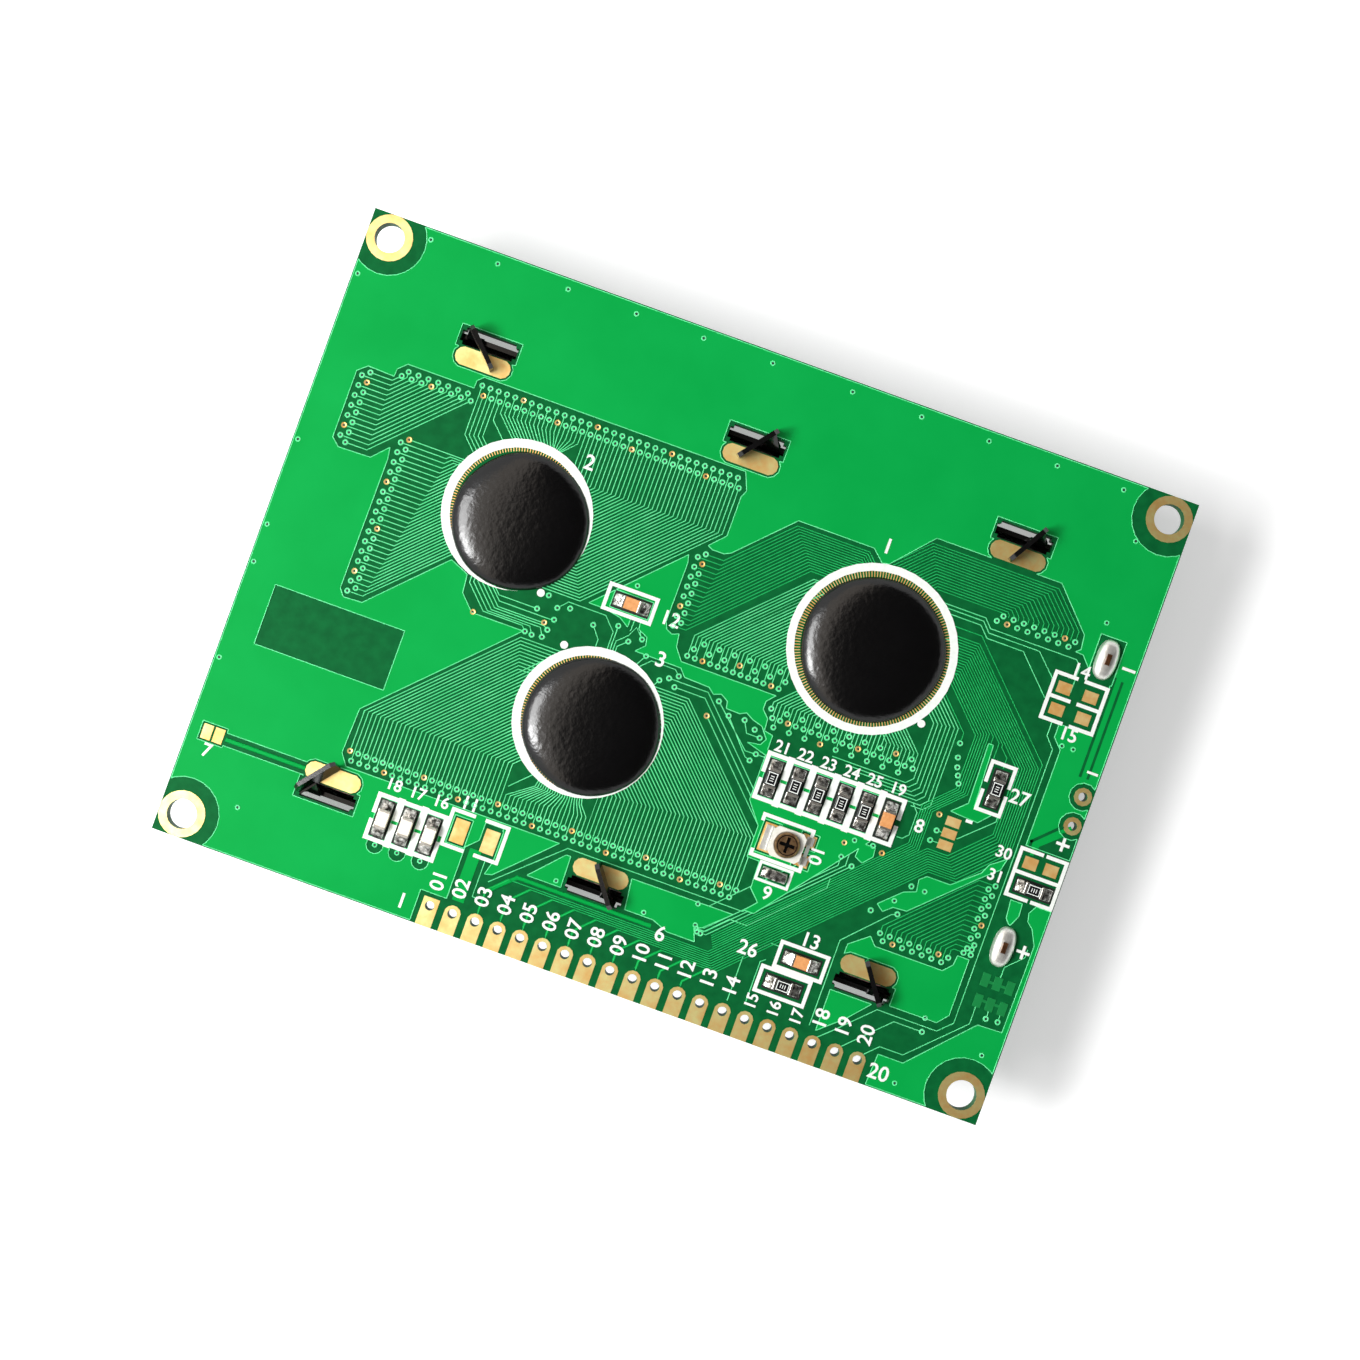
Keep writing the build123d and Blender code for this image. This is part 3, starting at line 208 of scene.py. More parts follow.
# Tinned end caps: pale metal with a satin grain
tinned = finish("tinned_copper", "#E3E1DC", "#C9C4BA", grain=0.4, bump=0.008, bump_grain=0.15,
                Metallic=1.0, Roughness=0.32)
# Bare lead end: cut copper alloy, brown
lead_end = finish("cut_copper_alloy", "#9A6B48", "#6E4A34", grain=0.4, Metallic=1.0, Roughness=0.4)
# Resistor glaze: black glass over the film
resistor_glaze = finish("resistor_glaze", "#0C0D10", "#17181C", grain=0.5, Roughness=0.25, IOR=1.52)
# Capacitor ceramic: fired, fine-grained, matt
tan_ceramic = finish("tan_capacitor_ceramic", "#D98E4E", "#E8A566", grain=0.35, Roughness=0.5)
cream_ceramic = finish("cream_capacitor_ceramic", "#F6EBD2", "#FBF5E6", grain=0.35, Roughness=0.5)
# Trimmer: moulded off-white base and a tarnished rotor
trimmer_moulding = finish("trimmer_moulding", "#ECEBE2", "#DEDCCF", grain=0.6, Roughness=0.45)
tarnished_brass = finish("tarnished_brass", "#B8946C", "#6A5038", grain=0.5, bump=0.01,
                         bump_grain=0.2, Metallic=1.0, Roughness=0.38)
# Display side: grey-green polarizing film, float glass, silicone strips, white moulding
polarizer = finish("polarizing_film", "#7E8A72", "#87937B", grain=6.0, Roughness=0.22, IOR=1.5)
float_glass = finish("float_glass", "#C9D8CC", "#BFD0C4", grain=8.0, Roughness=0.05, IOR=1.52)
silicone = finish("striped_silicone", "#9E6C66", "#2A2628", grain=0.4, share=0.8, Roughness=0.6)
white_moulding = finish("white_moulded_plastic", "#E9E9E5", "#DDDDD8", grain=1.5, bump=0.006,
                        bump_grain=0.3, Roughness=0.5)
# Backlight: matt film, clear acrylic and the yellowish resin of the lamps
light_film = finish("white_light_film", "#F2F2EF", "#E9E9E6", grain=3.0, Roughness=0.6)
acrylic = finish("clear_acrylic", "#DCE6E0", "#D2DED8", grain=4.0, Roughness=0.12, IOR=1.49)
lamp_resin = finish("lamp_resin", "#E2D36A", "#D6C458", grain=0.6, Roughness=0.3, IOR=1.5)
# Painted shade: a nearly black sheet of mask in a chip's printed window, standing for the chip's own
# shade
painted_chip_shade = finish("painted_shade_under_chips", "#06140D", "#0A1C13", grain=0.8, Roughness=0.5)
# Inside of a plated hole, too dark to read as metal: painted shade on the flat middle of each via,
# where its hole lies
painted_hole_shade = finish("painted_shade_in_holes", "#0A3A20", "#06281A", grain=0.3, Roughness=0.6)


def dress(material, *nodes):
    """Gives solids their finish."""
    for name in nodes:
        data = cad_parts[name].data
        data.materials.clear()
        data.materials.append(material)


dress(mask_on_laminate, "circuit_board", "led_board")
dress(mask_on_foil, "ground_foil")
dress(gilt, "empty_pads", "trimmer_pads")
dress(pale_gilt, "mounting_pads", "tab_pads", "header_pads", "spare_pads")
dress(solder, "chip_pads")
dress(screen_print, "print_rings")
dress(lacquer, "bezel")
dress(polarizer, "front_polarizer", "rear_polarizer")
dress(float_glass, "front_glass", "rear_glass")
dress(silicone, "contact_strip_top", "contact_strip_bottom", "contact_strip_side")
dress(white_moulding, "backlight_housing")
dress(light_film, "diffuser", "reflector")
dress(acrylic, "light_guide")
dress(lamp_resin, "backlight_leds")
dress(lead_end, "backlight_lead_k", "backlight_lead_a")
dress(solder, "trimmer_terminals")
dress(trimmer_moulding, "trimmer_base")
dress(tarnished_brass, "trimmer_rotor")


# ------------------------------------------------------------------------------------
# Making pieces
# ------------------------------------------------------------------------------------
def piece(name, shape, materials, smooth=False, body="module"):
    """Turns a finished bmesh into a piece that rides on a body."""
    data = bpy.data.meshes.new(name)
    bmesh.ops.recalc_face_normals(shape, faces=shape.faces)
    for face in shape.faces:
        face.smooth = smooth
    shape.to_mesh(data)
    shape.free()
    for material in materials:
        data.materials.append(material)
    made = new_object(name, data)
    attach(made, body)
    return made


def faces_of(verts):
    """The faces that meet some vertices."""
    return {face for vert in verts for face in vert.link_faces}


def block(shape, place, size, turn=0.0, material=0):
    """A block on a layout place and level, size in mm, turned in degrees."""
    x, y, z = place
    moved = Matrix.Translation(at(x, y, z + size[2] / 2))
    turned = moved @ Matrix.Rotation(math.radians(turn), 4, "Z")
    scaled = turned @ Matrix.Diagonal([s * MM for s in size] + [1])
    verts = bmesh.ops.create_cube(shape, size=1, matrix=scaled)["verts"]
    for face in faces_of(verts):
        face.material_index = material
    return verts


def bar(shape, start, end, width, height):
    """A flat bar on the foil between two layout points, with half its width more at each end."""
    (ax, ay), (bx, by) = start, end
    length = math.hypot(bx - ax, by - ay) + width
    block(shape, ((ax + bx) / 2, (ay + by) / 2, FOIL_TOP), (length, width, height),
          math.degrees(math.atan2(ay - by, bx - ax)))


def soften(shape, verts, radius, segments=2):
    """Rounds the edges of a block."""
    edges = list({e for v in verts for e in v.link_edges})
    bmesh.ops.bevel(shape, geom=edges, offset=radius * MM, segments=segments, profile=0.5,
                    affect="EDGES", material=-1)


def meshed(name, curve):
    """The mesh of a curve or a text."""
    source = new_object(name, curve)
    bpy.context.view_layer.update()
    shown = source.evaluated_get(bpy.context.evaluated_depsgraph_get())
    data = bpy.data.meshes.new_from_object(shown)
    bpy.data.objects.remove(source)
    return data


# ------------------------------------------------------------------------------------
# Tracks. The figures are places read off the photograph.
# ------------------------------------------------------------------------------------
tracks = []
fine_tracks = []
header_stubs = []
via_places = []


def into_ring(run, ring):
    """Carries the last stretch of a run on to the middle of a printed ring."""
    cx, cy, radius = RINGS[ring]
    (ax, ay), (bx, by) = run[-2], run[-1]
    length = math.hypot(bx - ax, by - ay)
    ux, uy = (bx - ax) / length, (by - ay) / length
    along = (cx - ax) * ux + (cy - ay) * uy
    off = (cx - ax) ** 2 + (cy - ay) ** 2 - along ** 2
    reach = along - math.sqrt(max(radius ** 2 - off, 0.0))
    return run[:-1] + [(ax + ux * reach, ay + uy * reach)]


def fan(count, first, last, ring=None, stagger=(0, 0), tip=None, odd=0, start=True, end=False,
        group=tracks):
    """A fan of tracks between its first and last one. Every other track starts staggered."""
    for i in range(count):
        share = i / max(count - 1, 1)
        run = [(a[0] + (b[0] - a[0]) * share, a[1] + (b[1] - a[1]) * share)
               for a, b in zip(first, last)]
        if (i + odd) % 2:
            run[0] = (run[0][0] + stagger[0], run[0][1] + stagger[1])
            if tip:
                run.append((run[-1][0] + tip[0], run[-1][1] + tip[1]))
        if ring:
            run = into_ring(run, ring)
        if start:
            via_places.append(run[0])
        if end:
            via_places.append(run[-1])
        group.append(run)


def lone(*run, ring=None, start=False, end=False):
    """A track of its own, with a via at its start or end where that is asked for."""
    run = list(run)
    fan(1, run, run, ring=ring, start=start, end=end)


# Stitches at the upper left, from a column of vias to a row of them
fan(15, [(5.45, 16.63), (7.9, 16.63), (8.7, 15.85)], [(5.45, 24.5), (7.85, 24.5), (16.5, 15.85)],
    stagger=(-0.75, 0), tip=(0, -0.65), end=True)

# Upper row of vias, in two lines, down into the west ring
UPPER_FIRST = 17.1
UPPER_PITCH = 0.4653
UPPER_LINE = 13.9
UPPER_STAGGER = (0, 1.0)


def upper(k, y=UPPER_LINE):
    """The k-th via of the upper row, or the point at y in line with it."""
    return UPPER_FIRST + UPPER_PITCH * k, y


fan(5, [upper(0), upper(0, 19.4), (19.5, 21.8)], [upper(4), upper(4, 19.0), (21.0, 21.0)],
    "west", UPPER_STAGGER)
lone(upper(5, 14.9), upper(5, 16.95), (21.0, 18.5), ring="west", start=True)
fan(14, [upper(6), upper(6, 16.0), (22.0, 18.1)], [upper(19), upper(19, 16.0), (26.2, 16.9)],
    "west", UPPER_STAGGER)
fan(6, [upper(20), upper(20, 16.3), (26.45, 16.9)], [upper(25), upper(25, 16.3), (28.2, 16.85)],
    "west", UPPER_STAGGER)
fan(5, [upper(26), upper(26, 18.5)], [upper(30), upper(30, 18.5)], "west", UPPER_STAGGER)
fan(21, [upper(31), upper(31, 20.1), (31.0, 20.6)], [upper(51), upper(51, 20.1), (35.0, 25.93)],
    "west", UPPER_STAGGER, odd=1)
fan(12, [upper(52), upper(52, 20.1), (32.9, 28.5), (31.0, 28.5)],
    [upper(63), upper(63, 20.1), (34.6, 31.9), (30.5, 31.9)], "west", UPPER_STAGGER)

# Left column of vias into the west ring
lone((11.75, 21.95), (18.0, 21.95), ring="west", start=True)
fan(3, [(11.75, 22.51), (16.1, 22.51), (16.45, 22.2), (18.0, 22.2)],
    [(11.75, 23.62), (16.05, 23.62), (17.0, 22.7), (18.0, 22.7)], "west", (-0.75, 0), odd=1)
fan(28, [(11.75, 24.18), (16.0, 24.18), (18.0, 22.18)],
    [(11.75, 39.25), (12.7, 39.25), (19.9, 32.1)], "west", (-0.75, 0))

# Short runs below the west ring
for x, bend, low, end_x, end_y in [
    (22.9, 34.0, 36.4, 29.7, 36.9), (23.3, 33.8, 36.2, 30.5, 37.0), (23.7, 33.6, 35.95, 31.6, 36.85),
    (24.05, 33.4, 35.65, 31.9, 35.95), (24.4, 33.2, 35.4, 31.3, 35.35), (24.75, 33.0, 34.8, 32.2, 34.7),
    (25.1, 33.0, 34.2, 30.1, 34.2),
]:
    lone((x, bend - 1.2), (x, bend), (x + low - bend, low), (end_x, low), (end_x + 0.5, end_y),
         end=True)
lone((32.6, 33.4), (33.5, 32.4), (37.7, 32.4), (39.05, 33.8), (39.05, 36.5), ring="south", start=True)
lone((36.8, 33.8), (37.8, 35.1), (37.8, 36.4), ring="south", start=True)
lone((39.35, 33.0), (39.35, 36.2), ring="south", start=True)
lone((42.2, 33.5), (41.2, 32.5), (40.7, 33.6), (39.65, 34.6), (39.65, 36.2), ring="south", start=True)
lone((40.9, 34.2), (39.95, 35.1), (39.95, 36.2), ring="south", start=True)
lone((40.75, 31.2), (40.75, 32.9), (40.7, 33.1))
lone((41.75, 31.2), (41.75, 32.9), (42.2, 33.5))
lone((43.2, 35.0), (42.3, 36.6), ring="south", start=True)

# Lower row of vias, in two lines, up into the south ring
LOWER_FIRST = 17.05
LOWER_PITCH = 0.4638
LOWER_LINE = 55.15
LOWER_STAGGER = (0, 0.95)


def lower(k, y=LOWER_LINE):
    """The k-th via of the lower row, or the point at y in line with it."""
    return LOWER_FIRST + LOWER_PITCH * k, y


fan(10, [lower(0), lower(0, 50.6), (30.0, 37.65), (34.2, 37.65)],
    [lower(9), lower(9, 50.6), (30.9, 40.92), (32.0, 40.92)], "south", LOWER_STAGGER)
fan(27, [lower(10), lower(10, 50.6), (31.0, 41.29)], [lower(36), lower(36, 50.6), (34.3, 50.05)],
    "south", LOWER_STAGGER)
fan(20, [lower(37), lower(37, 53.9), (36.8, 52.0), (37.0, 51.0)],
    [lower(56), lower(56, 53.3), (42.1, 52.2), (41.8, 51.0)], "south", LOWER_STAGGER, odd=1)
lone((34.1, 53.0), (36.1, 51.0), ring="south")
fan(27, [lower(57), lower(57, 50.4), (42.5, 49.4)], [lower(83), lower(83, 49.4), (48.0, 41.85)],
    "south", LOWER_STAGGER, odd=1)
fan(11, [lower(84), lower(84, 49.4), (47.75, 41.15), (46.0, 41.15)],
    [lower(94), lower(94, 49.4), (49.0, 37.75), (45.0, 37.75)], "south", LOWER_STAGGER)

# Singles between the south ring and the chips
lone((45.4, 36.95), (44.5, 38.5), ring="south", start=True)
lone((47.2, 35.85), (46.6, 35.3), (43.9, 35.3), (42.9, 36.3), ring="south", start=True)
lone((46.3, 36.4), (50.7, 36.4), (59.4, 45.1), (60.2, 46.1), (65.4, 46.1), (66.0, 45.5), start=True)
lone((47.15, 37.1), (50.6, 37.1), (59.3, 45.8), start=True)
lone((51.4, 38.8), (60.6, 48.0), (60.6, 49.4), start=True)
lone((52.1, 36.9), (56.5, 40.9), (57.7, 40.85), start=True, end=True)
lone((53.6, 38.0), (56.7, 41.5), (57.3, 41.7), start=True, end=True)
lone((55.35, 37.85), (56.0, 39.1), (57.5, 39.1), start=True, end=True)
lone((57.7, 40.85), (59.0, 40.85))

# Left column of vias into the east ring, and the row of vias that follows it
fan(5, [(45.5, 22.7), (47.5, 22.7), (53.65, 16.55), (61.8, 16.55), (63.0, 17.75)],
    [(45.5, 24.91), (47.15, 24.91), (54.43, 17.63), (61.3, 17.63), (62.3, 18.63)],
    "east", (-0.7, 0), group=fine_tracks)
fan(11, [(45.5, 25.47), (47.07, 25.47), (54.64, 17.9), (60.0, 17.9)],
    [(45.5, 31.0), (46.2, 31.0), (56.6, 20.6), (57.6, 20.6)],
    "east", (-0.7, 0), odd=1, group=fine_tracks)
for j in range(26):
    x = 47.3 + 0.43 * j
    low = (33.5, 32.6, 33.5, 31.75)[j % 4]
    level = 21.3 + 0.2 * j
    slope = [(x + 9.9 - 0.2 * j, level), (58.4, level)] if j < 7 else [(x + 2.0, 29.2)]
    lone((x, low), (x, 31.2), *slope, ring="east", start=True)

# Rows of vias below the east ring
for j in range(38):
    x = 57.6 + 0.44 * j
    low = (35.75, 36.65, 37.55, 36.65)[j % 4]
    lean = 1.2 if x < 66 else -1.2 if x > 70 else 0.0
    lone((x, low), (x, 35.0), (x + lean, 33.8), ring="east", start=True)

# From the top of the east ring, over and down to the vias at the upper right
fan(16, [(63.9, 17.3), (67.8, 13.4), (82.0, 13.4), (85.55, 16.95), (85.55, 18.15)],
    [(69.9, 17.9), (69.95, 17.85), (77.45, 17.85), (77.45, 17.9), (77.45, 18.15)],
    start=False, group=fine_tracks)
for j in range(8):
    via_places += [(77.45 + 1.157 * j, 18.15), (76.95 + 1.157 * j, 18.85)]
lone((75.4, 18.95), (71.4, 18.95), ring="east")
lone((75.4, 19.35), (72.0, 19.35), ring="east")
lone((75.4, 19.85), (72.7, 19.85), ring="east")
lone((75.4, 18.95), (75.75, 18.95), (76.6, 19.85), (86.3, 19.85), (86.9, 20.4), (86.9, 23.4))
lone((75.4, 19.35), (75.65, 19.35), (76.6, 20.35), (82.3, 20.35), (84.7, 22.7))
lone((75.4, 19.85), (75.5, 19.85), (76.6, 20.95), (80.7, 20.95), (84.5, 24.8))


# The wide bundle from the right of the east ring. A slant is x less y on the way down to the
# right, a fall is x plus y on the way down to the left.
def out_of_east(outer, slope=0.0):
    """A track's start in the east ring and its first bend. The slope is its fall per mm."""
    x, y = outer
    return [into_ring([outer, (x - 3.0, y - 3.0 * slope)], "east")[-1], outer]


def inner_fall(i, x):
    """How the i-th of the six inner tracks that share a way goes on, down and to the left."""
    return [(x, 117.6 - 0.32 * i - x), (77.4 - 0.25 * i, 40.2 - 0.07 * i),
            (77.4 - 0.25 * i, 44.6 - 0.08 * i), (60.3 - 0.11 * i, 61.7 - 0.22 * i)]


for j in range(15):
    slant, level = (54.67 - 0.37 * j, 21.51 + 0.29 * j) if j else (55.1, 20.9)
    run = out_of_east((slant + level, level))
    if j < 10:
        back = 9 - j
        x, fall, jog = 86.7 - 0.27 * j, 124.6 + 0.46 * back, 44.1 + 0.255 * back
        bus, low, pad = 122.3 + 0.36 * back, 62.3 + 0.22 * back, PAD_X[11 - j]
        run += [(x, x - slant), (x, fall - x), (fall - jog, jog), (bus - jog, jog),
                (bus - low, low), (pad + 1.9, low), (pad, low + 1.9), (pad, 67.0)]
        header_stubs.append([(pad + 1.9, low), (pad, low + 1.9), (pad, 66.6)])
    elif j == 10:
        run += [(82.0, 82.0 - slant), (82.0, 31.3), (82.9, 32.2), (82.9, 33.4)]
    elif j < 13:
        x, low = ((81.6, 33.0), (80.8, 31.6))[j - 11]
        run += [(x, x - slant), (x, low)]
    else:
        x = 80.3 - 0.27 * (j - 13)
        run += [(x, x - slant)] + inner_fall(j - 13, x)
    fine_tracks.append(run)
for i in range(2, 6):
    x = 80.3 - 0.27 * i
    slant = 49.9 - 0.4 * i
    fine_tracks.append(out_of_east((x, x - slant), 1.0) + inner_fall(i, x))
fine_tracks.append(out_of_east((77.7, 31.25), 1.0) + [(77.7, 32.4)])

# Seven wider spaced ones, down and to the left over the row of chips
for i, x in enumerate((77.0, 76.6, 76.1, 75.7, 75.25, 74.8, 74.35)):
    slant = 46.0 - 0.5 * i
    level = 40.4 - 0.35 * i
    tracks.append(out_of_east((x, x - slant), 1.0)
                  + [(x, level - 0.7), (x - 0.7, level), (75.0 - 1.6 * i, level)])
lone((75.2, 40.1), (75.9, 40.9), (75.9, 43.4), (75.3, 44.0), (74.7, 44.0))
via_places += [
    (77.7, 32.4), (78.0, 33.9), (78.3, 34.9), (78.65, 35.7), (79.0, 36.5), (78.2, 40.25),
    (78.5, 41.95), (78.2, 43.15), (78.0, 48.45), (79.5, 48.5), (76.8, 50.5), (77.6, 51.75),
    (74.8, 52.3), (72.7, 45.8), (73.85, 46.2), (86.3, 52.6), (85.6, 53.2),
]
lone((78.5, 41.95), (79.2, 41.95))
lone((78.2, 43.15), (79.2, 43.15))
lone((84.1, 38.4), (84.1, 39.0), (80.8, 42.1))

# Four more from vias by the chips, beside the slanting bus
for (x, y), fall, low in [((71.3, 48.6), 119.9, 60.7), ((70.65, 45.9), 119.4, 60.4),
                          ((69.9, 48.0), 118.9, 60.1), ((69.7, 46.5), 116.2, 57.9)]:
    lone((x, y), (x, max(fall - x, y)), (fall - low, low), (fall - low - 1.0, low),
         start=True, end=True)

# Fan at the lower right
fan(15, [(86.4, 45.4), (84.55, 45.4), (76.55, 53.4), (76.55, 54.25)],
    [(86.4, 53.17), (84.5, 53.17), (84.25, 53.4), (84.25, 54.25)],
    stagger=(-0.6, 0), tip=(0, 0.7), end=True, group=fine_tracks)

# Long thin tracks at the right edge and along the bottom
lone((86.1, 26.8), (86.1, 28.5), (87.15, 29.7), (87.15, 60.6), (85.7, 62.0), (79.0, 62.0),
     (75.2, 65.8), (73.9, 67.0))
lone((84.3, 62.6), (81.1, 62.6), (76.5, 67.2), start=True)
lone((91.9, 50.6), (91.9, 51.5), (90.2, 53.2), (90.2, 54.5))
lone((88.75, 57.5), (88.75, 60.1), (83.2, 65.6), (80.6, 65.6), (79.2, 67.0))
lone((90.2, 57.5), (90.2, 59.0), end=True)
lone((91.5, 57.5), (91.5, 58.9), end=True)
lone((72.8, 66.0), (72.8, 56.4), (77.0, 52.0), (77.6, 51.75))
lone((35.55, 63.25), (42.3, 57.05), (62.0, 57.05), (66.5, 52.5), (66.5, 50.5))
lone((58.6, 60.75), (61.0, 58.3), (63.0, 58.3), (69.6, 51.7), (69.6, 50.6), start=True)
lone((34.5, 60.9), (34.5, 65.3), (35.2, 65.3))
lone((63.7, 66.5), (63.7, 61.5), (66.0, 59.2), (66.9, 59.2))
lone((65.6, 66.0), (65.6, 61.4), (66.1, 61.0))
via_places += [(24.3, 36.85), (31.3, 32.45), (33.9, 33.0), (56.7, 38.45)]

# Vias that tie the pour to the other side
STITCHES = [
    (6.7, 1.2), (14.25, 1.2), (22.2, 1.2), (29.9, 1.2), (37.5, 1.2), (45.3, 1.2), (54.3, 1.2),
    (62.1, 1.2), (69.7, 1.2), (77.4, 1.2), (84.9, 1.2), (0.6, 7.2), (0.6, 25.9), (0.6, 35.5),
    (0.6, 39.7), (0.6, 50.5), (87.95, 5.9), (88.0, 15.1), (87.95, 29.0), (89.2, 28.95),
    (39.8, 28.3), (7.85, 64.85), (42.3, 60.7), (52.2, 60.7), (84.1, 61.1), (83.4, 68.7),
    (91.1, 62.8), (22.9, 63.65), (25.4, 63.65), (28.0, 63.65),
]


def lay(name, runs, width, height, material, base=BOARD_TOP):
    """Tracks of one width: a rounded ridge of mask along every run."""
    curve = bpy.data.curves.new(name, "CURVE")
    curve.dimensions = "3D"
    curve.bevel_depth = width / 2 * MM
    curve.bevel_resolution = 1
    curve.use_fill_caps = True
    for run in runs:
        spline = curve.splines.new("POLY")
        spline.points.add(len(run) - 1)
        for point, (x, y) in zip(spline.points, run):
            point.co = at(x, y, base).to_4d()
    data = meshed(name, curve)
    level = base * MM
    flatten = Matrix.Diagonal((1, 1, 2 * height / width, 1))
    data.transform(Matrix.Translation((0, 0, level)) @ flatten @ Matrix.Translation((0, 0, -level)))
    shape = bmesh.new()
    shape.from_mesh(data)
    bpy.data.meshes.remove(data)
    return piece(name, shape, [material], smooth=True)


# Signal tracks: the colour of their mask carries a painted highlight
lay("signal_tracks", tracks, 0.11, 0.05, mask_with_painted_highlight)
lay("fine_tracks", fine_tracks, 0.1, 0.05, mask_on_fine_track)
lay("header_stubs", header_stubs, 0.3, 0.045, mask_on_foil)
lay("backlight_traces", [
    [(91.25, 20.5), (91.25, 32.2)], [(92.3, 18.5), (92.3, 31.4)],
    [(91.9, 36.9), (88.9, 39.4), (88.9, 41.0)], [(53.4, 61.8), (38.3, 61.8), (35.6, 64.4)],
    [(4.2, 58.5), (13.2, 58.5)],
], 0.5, 0.05, mask_on_foil)

# Painted highlight: a bright ridge of mask where it runs over the edge of the pour, along the outline
# of the foil's top
LIP_LEVEL = FOIL_TOP - 0.01
foil = bmesh.new()
foil.from_mesh(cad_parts["ground_foil"].data)
bmesh.ops.remove_doubles(foil, verts=foil.verts, dist=0.001 * MM)
rim = [e for e in foil.edges if len(e.link_faces) == 2
       and sum(f.normal.z > 0.9 for f in e.link_faces) == 1 and e.verts[0].co.z > LIP_LEVEL * MM]
lip_runs = [[(v.co.x / MM + HALF_LENGTH, HALF_WIDTH - v.co.y / MM) for v in e.verts] for e in rim]
foil.free()
lay("pour_lip_painted_highlight", lip_runs, 0.11, 0.045, mask_with_painted_highlight, base=LIP_LEVEL)

# Vias: a raised ring of mask with a dark middle. The ring wears the mask with a painted highlight, and
# the middle is painted shade where the hole lies. Every ninth has a ring of gold instead
vias = bmesh.new()
GOLD_RING_EVERY = 9
FIRST_GOLD_RING = 4


def via(place, foot, head, high, rim, dip, ring_material=0):
    """A low cone, foot and head its radii, whose top sinks by dip inside a rim."""
    made = bmesh.ops.create_cone(vias, cap_ends=True, segments=10, radius1=foot * MM,
                                 radius2=head * MM, depth=high * MM,
                                 matrix=Matrix.Translation(place))
    faces = faces_of(made["verts"])
    top = [f for f in faces if f.normal.z > 0.9]
    ring = bmesh.ops.inset_region(vias, faces=top, thickness=rim * MM, depth=-dip * MM)["faces"]
    for face in list(faces) + ring:
        face.material_index = ring_material
    for face in top:
        face.material_index = 1


for n, (x, y) in enumerate(via_places):
    via(at(x, y, BOARD_TOP + 0.05), 0.34, 0.27, 0.1, 0.12, 0.03,
        2 if n % GOLD_RING_EVERY == FIRST_GOLD_RING else 0)
for x, y in STITCHES:
    via(at(x, y, FOIL_TOP + 0.02), 0.3, 0.24, 0.05, 0.09, 0.02)
piece("vias", vias, [mask_with_painted_highlight, painted_hole_shade, gilt])

# Channels beside the right edge, where the pour leaves the backlight's tracks free
CHANNEL_HEIGHT = 0.006
channels = bmesh.new()
for start, end, width in [
    ((90.85, 20.4), (90.85, 31.3), 0.3), ((91.7, 20.6), (91.7, 31.3), 0.28),
    ((90.9, 37.1), (88.35, 39.6), 0.32), ((88.35, 39.6), (88.35, 40.5), 0.32),
]:
    bar(channels, start, end, width, CHANNEL_HEIGHT)
corner = [channels.verts.new(at(x, y, FOIL_TOP + CHANNEL_HEIGHT)) for x, y in [
    (91.5, 37.9), (92.8, 37.5), (92.8, 40.3), (89.3, 40.3), (89.3, 39.9)]]
channels.faces.new(corner)
piece("edge_channels", channels, [mask_on_laminate])

# Masked pads at the lower right that carry no chip, and a masked strip by the second header pad
masked_pads = bmesh.new()
for x in (88.75, 90.1, 91.5):
    for y in (55.1, 57.45):
        soften(masked_pads, block(masked_pads, (x, y, BOARD_TOP), (0.9, 1.45, 0.06)), 0.02, 1)
for x in (89.42, 90.8):
    for y in (55.2, 57.3):
        block(masked_pads, (x, y, BOARD_TOP), (0.6, 0.3, 0.045))
block(masked_pads, (33.2, 63.4, BOARD_TOP), (1.3, 5.8, 0.05), material=1)
piece("masked_pads", masked_pads, [mask_on_thin_copper, mask_on_foil])

# Bond fingers round the drops, seen between a drop and its printed ring
FINGER_PITCH = 0.3
fingers = bmesh.new()
for cx, cy, radius, first, last in [
    (65.5, 26.15, 8.0, 0, 360), (25.25, 25.6, 7.15, 55, 255), (39.8, 43.75, 7.15, 90, 265),
]:
    count = int(radius * math.radians(last - first) / FINGER_PITCH)
    for i in range(count):
        turn = math.radians(first + (last - first) * i / count)
        x, y = cx + radius * math.cos(turn), cy - radius * math.sin(turn)
        block(fingers, (x, y, BOARD_TOP), (0.7, 0.1, 0.04), math.degrees(turn))
piece("bond_fingers", fingers, [gilt])


# ------------------------------------------------------------------------------------
# Screen print
# ------------------------------------------------------------------------------------
print_work = bmesh.new()
BLOCK_VERTS = 8
LAYERS = 13
LAYER_STEP = 0.0012


def line(*run, width=0.4):
    """A printed line through layout points. Bars that cross differ a hair in height."""
    for start, end in zip(run, run[1:]):
        layer = len(print_work.verts) // BLOCK_VERTS % LAYERS * LAYER_STEP
        bar(print_work, start, end, width, PRINT_TOP - FOIL_TOP + layer)


def frame_round(x0, y0, x1, y1, gaps=(), width=0.4):
    """A printed rectangle, open on its upper and lower side at each gap, (low x, high x)."""
    line((x0, y0), (x0, y1), width=width)
    line((x1, y0), (x1, y1), width=width)
    for y in (y0, y1):
        edge = x0
        for low, high in gaps:
            line((edge, y), (low, y), width=width)
            edge = high
        line((edge, y), (x1, y), width=width)


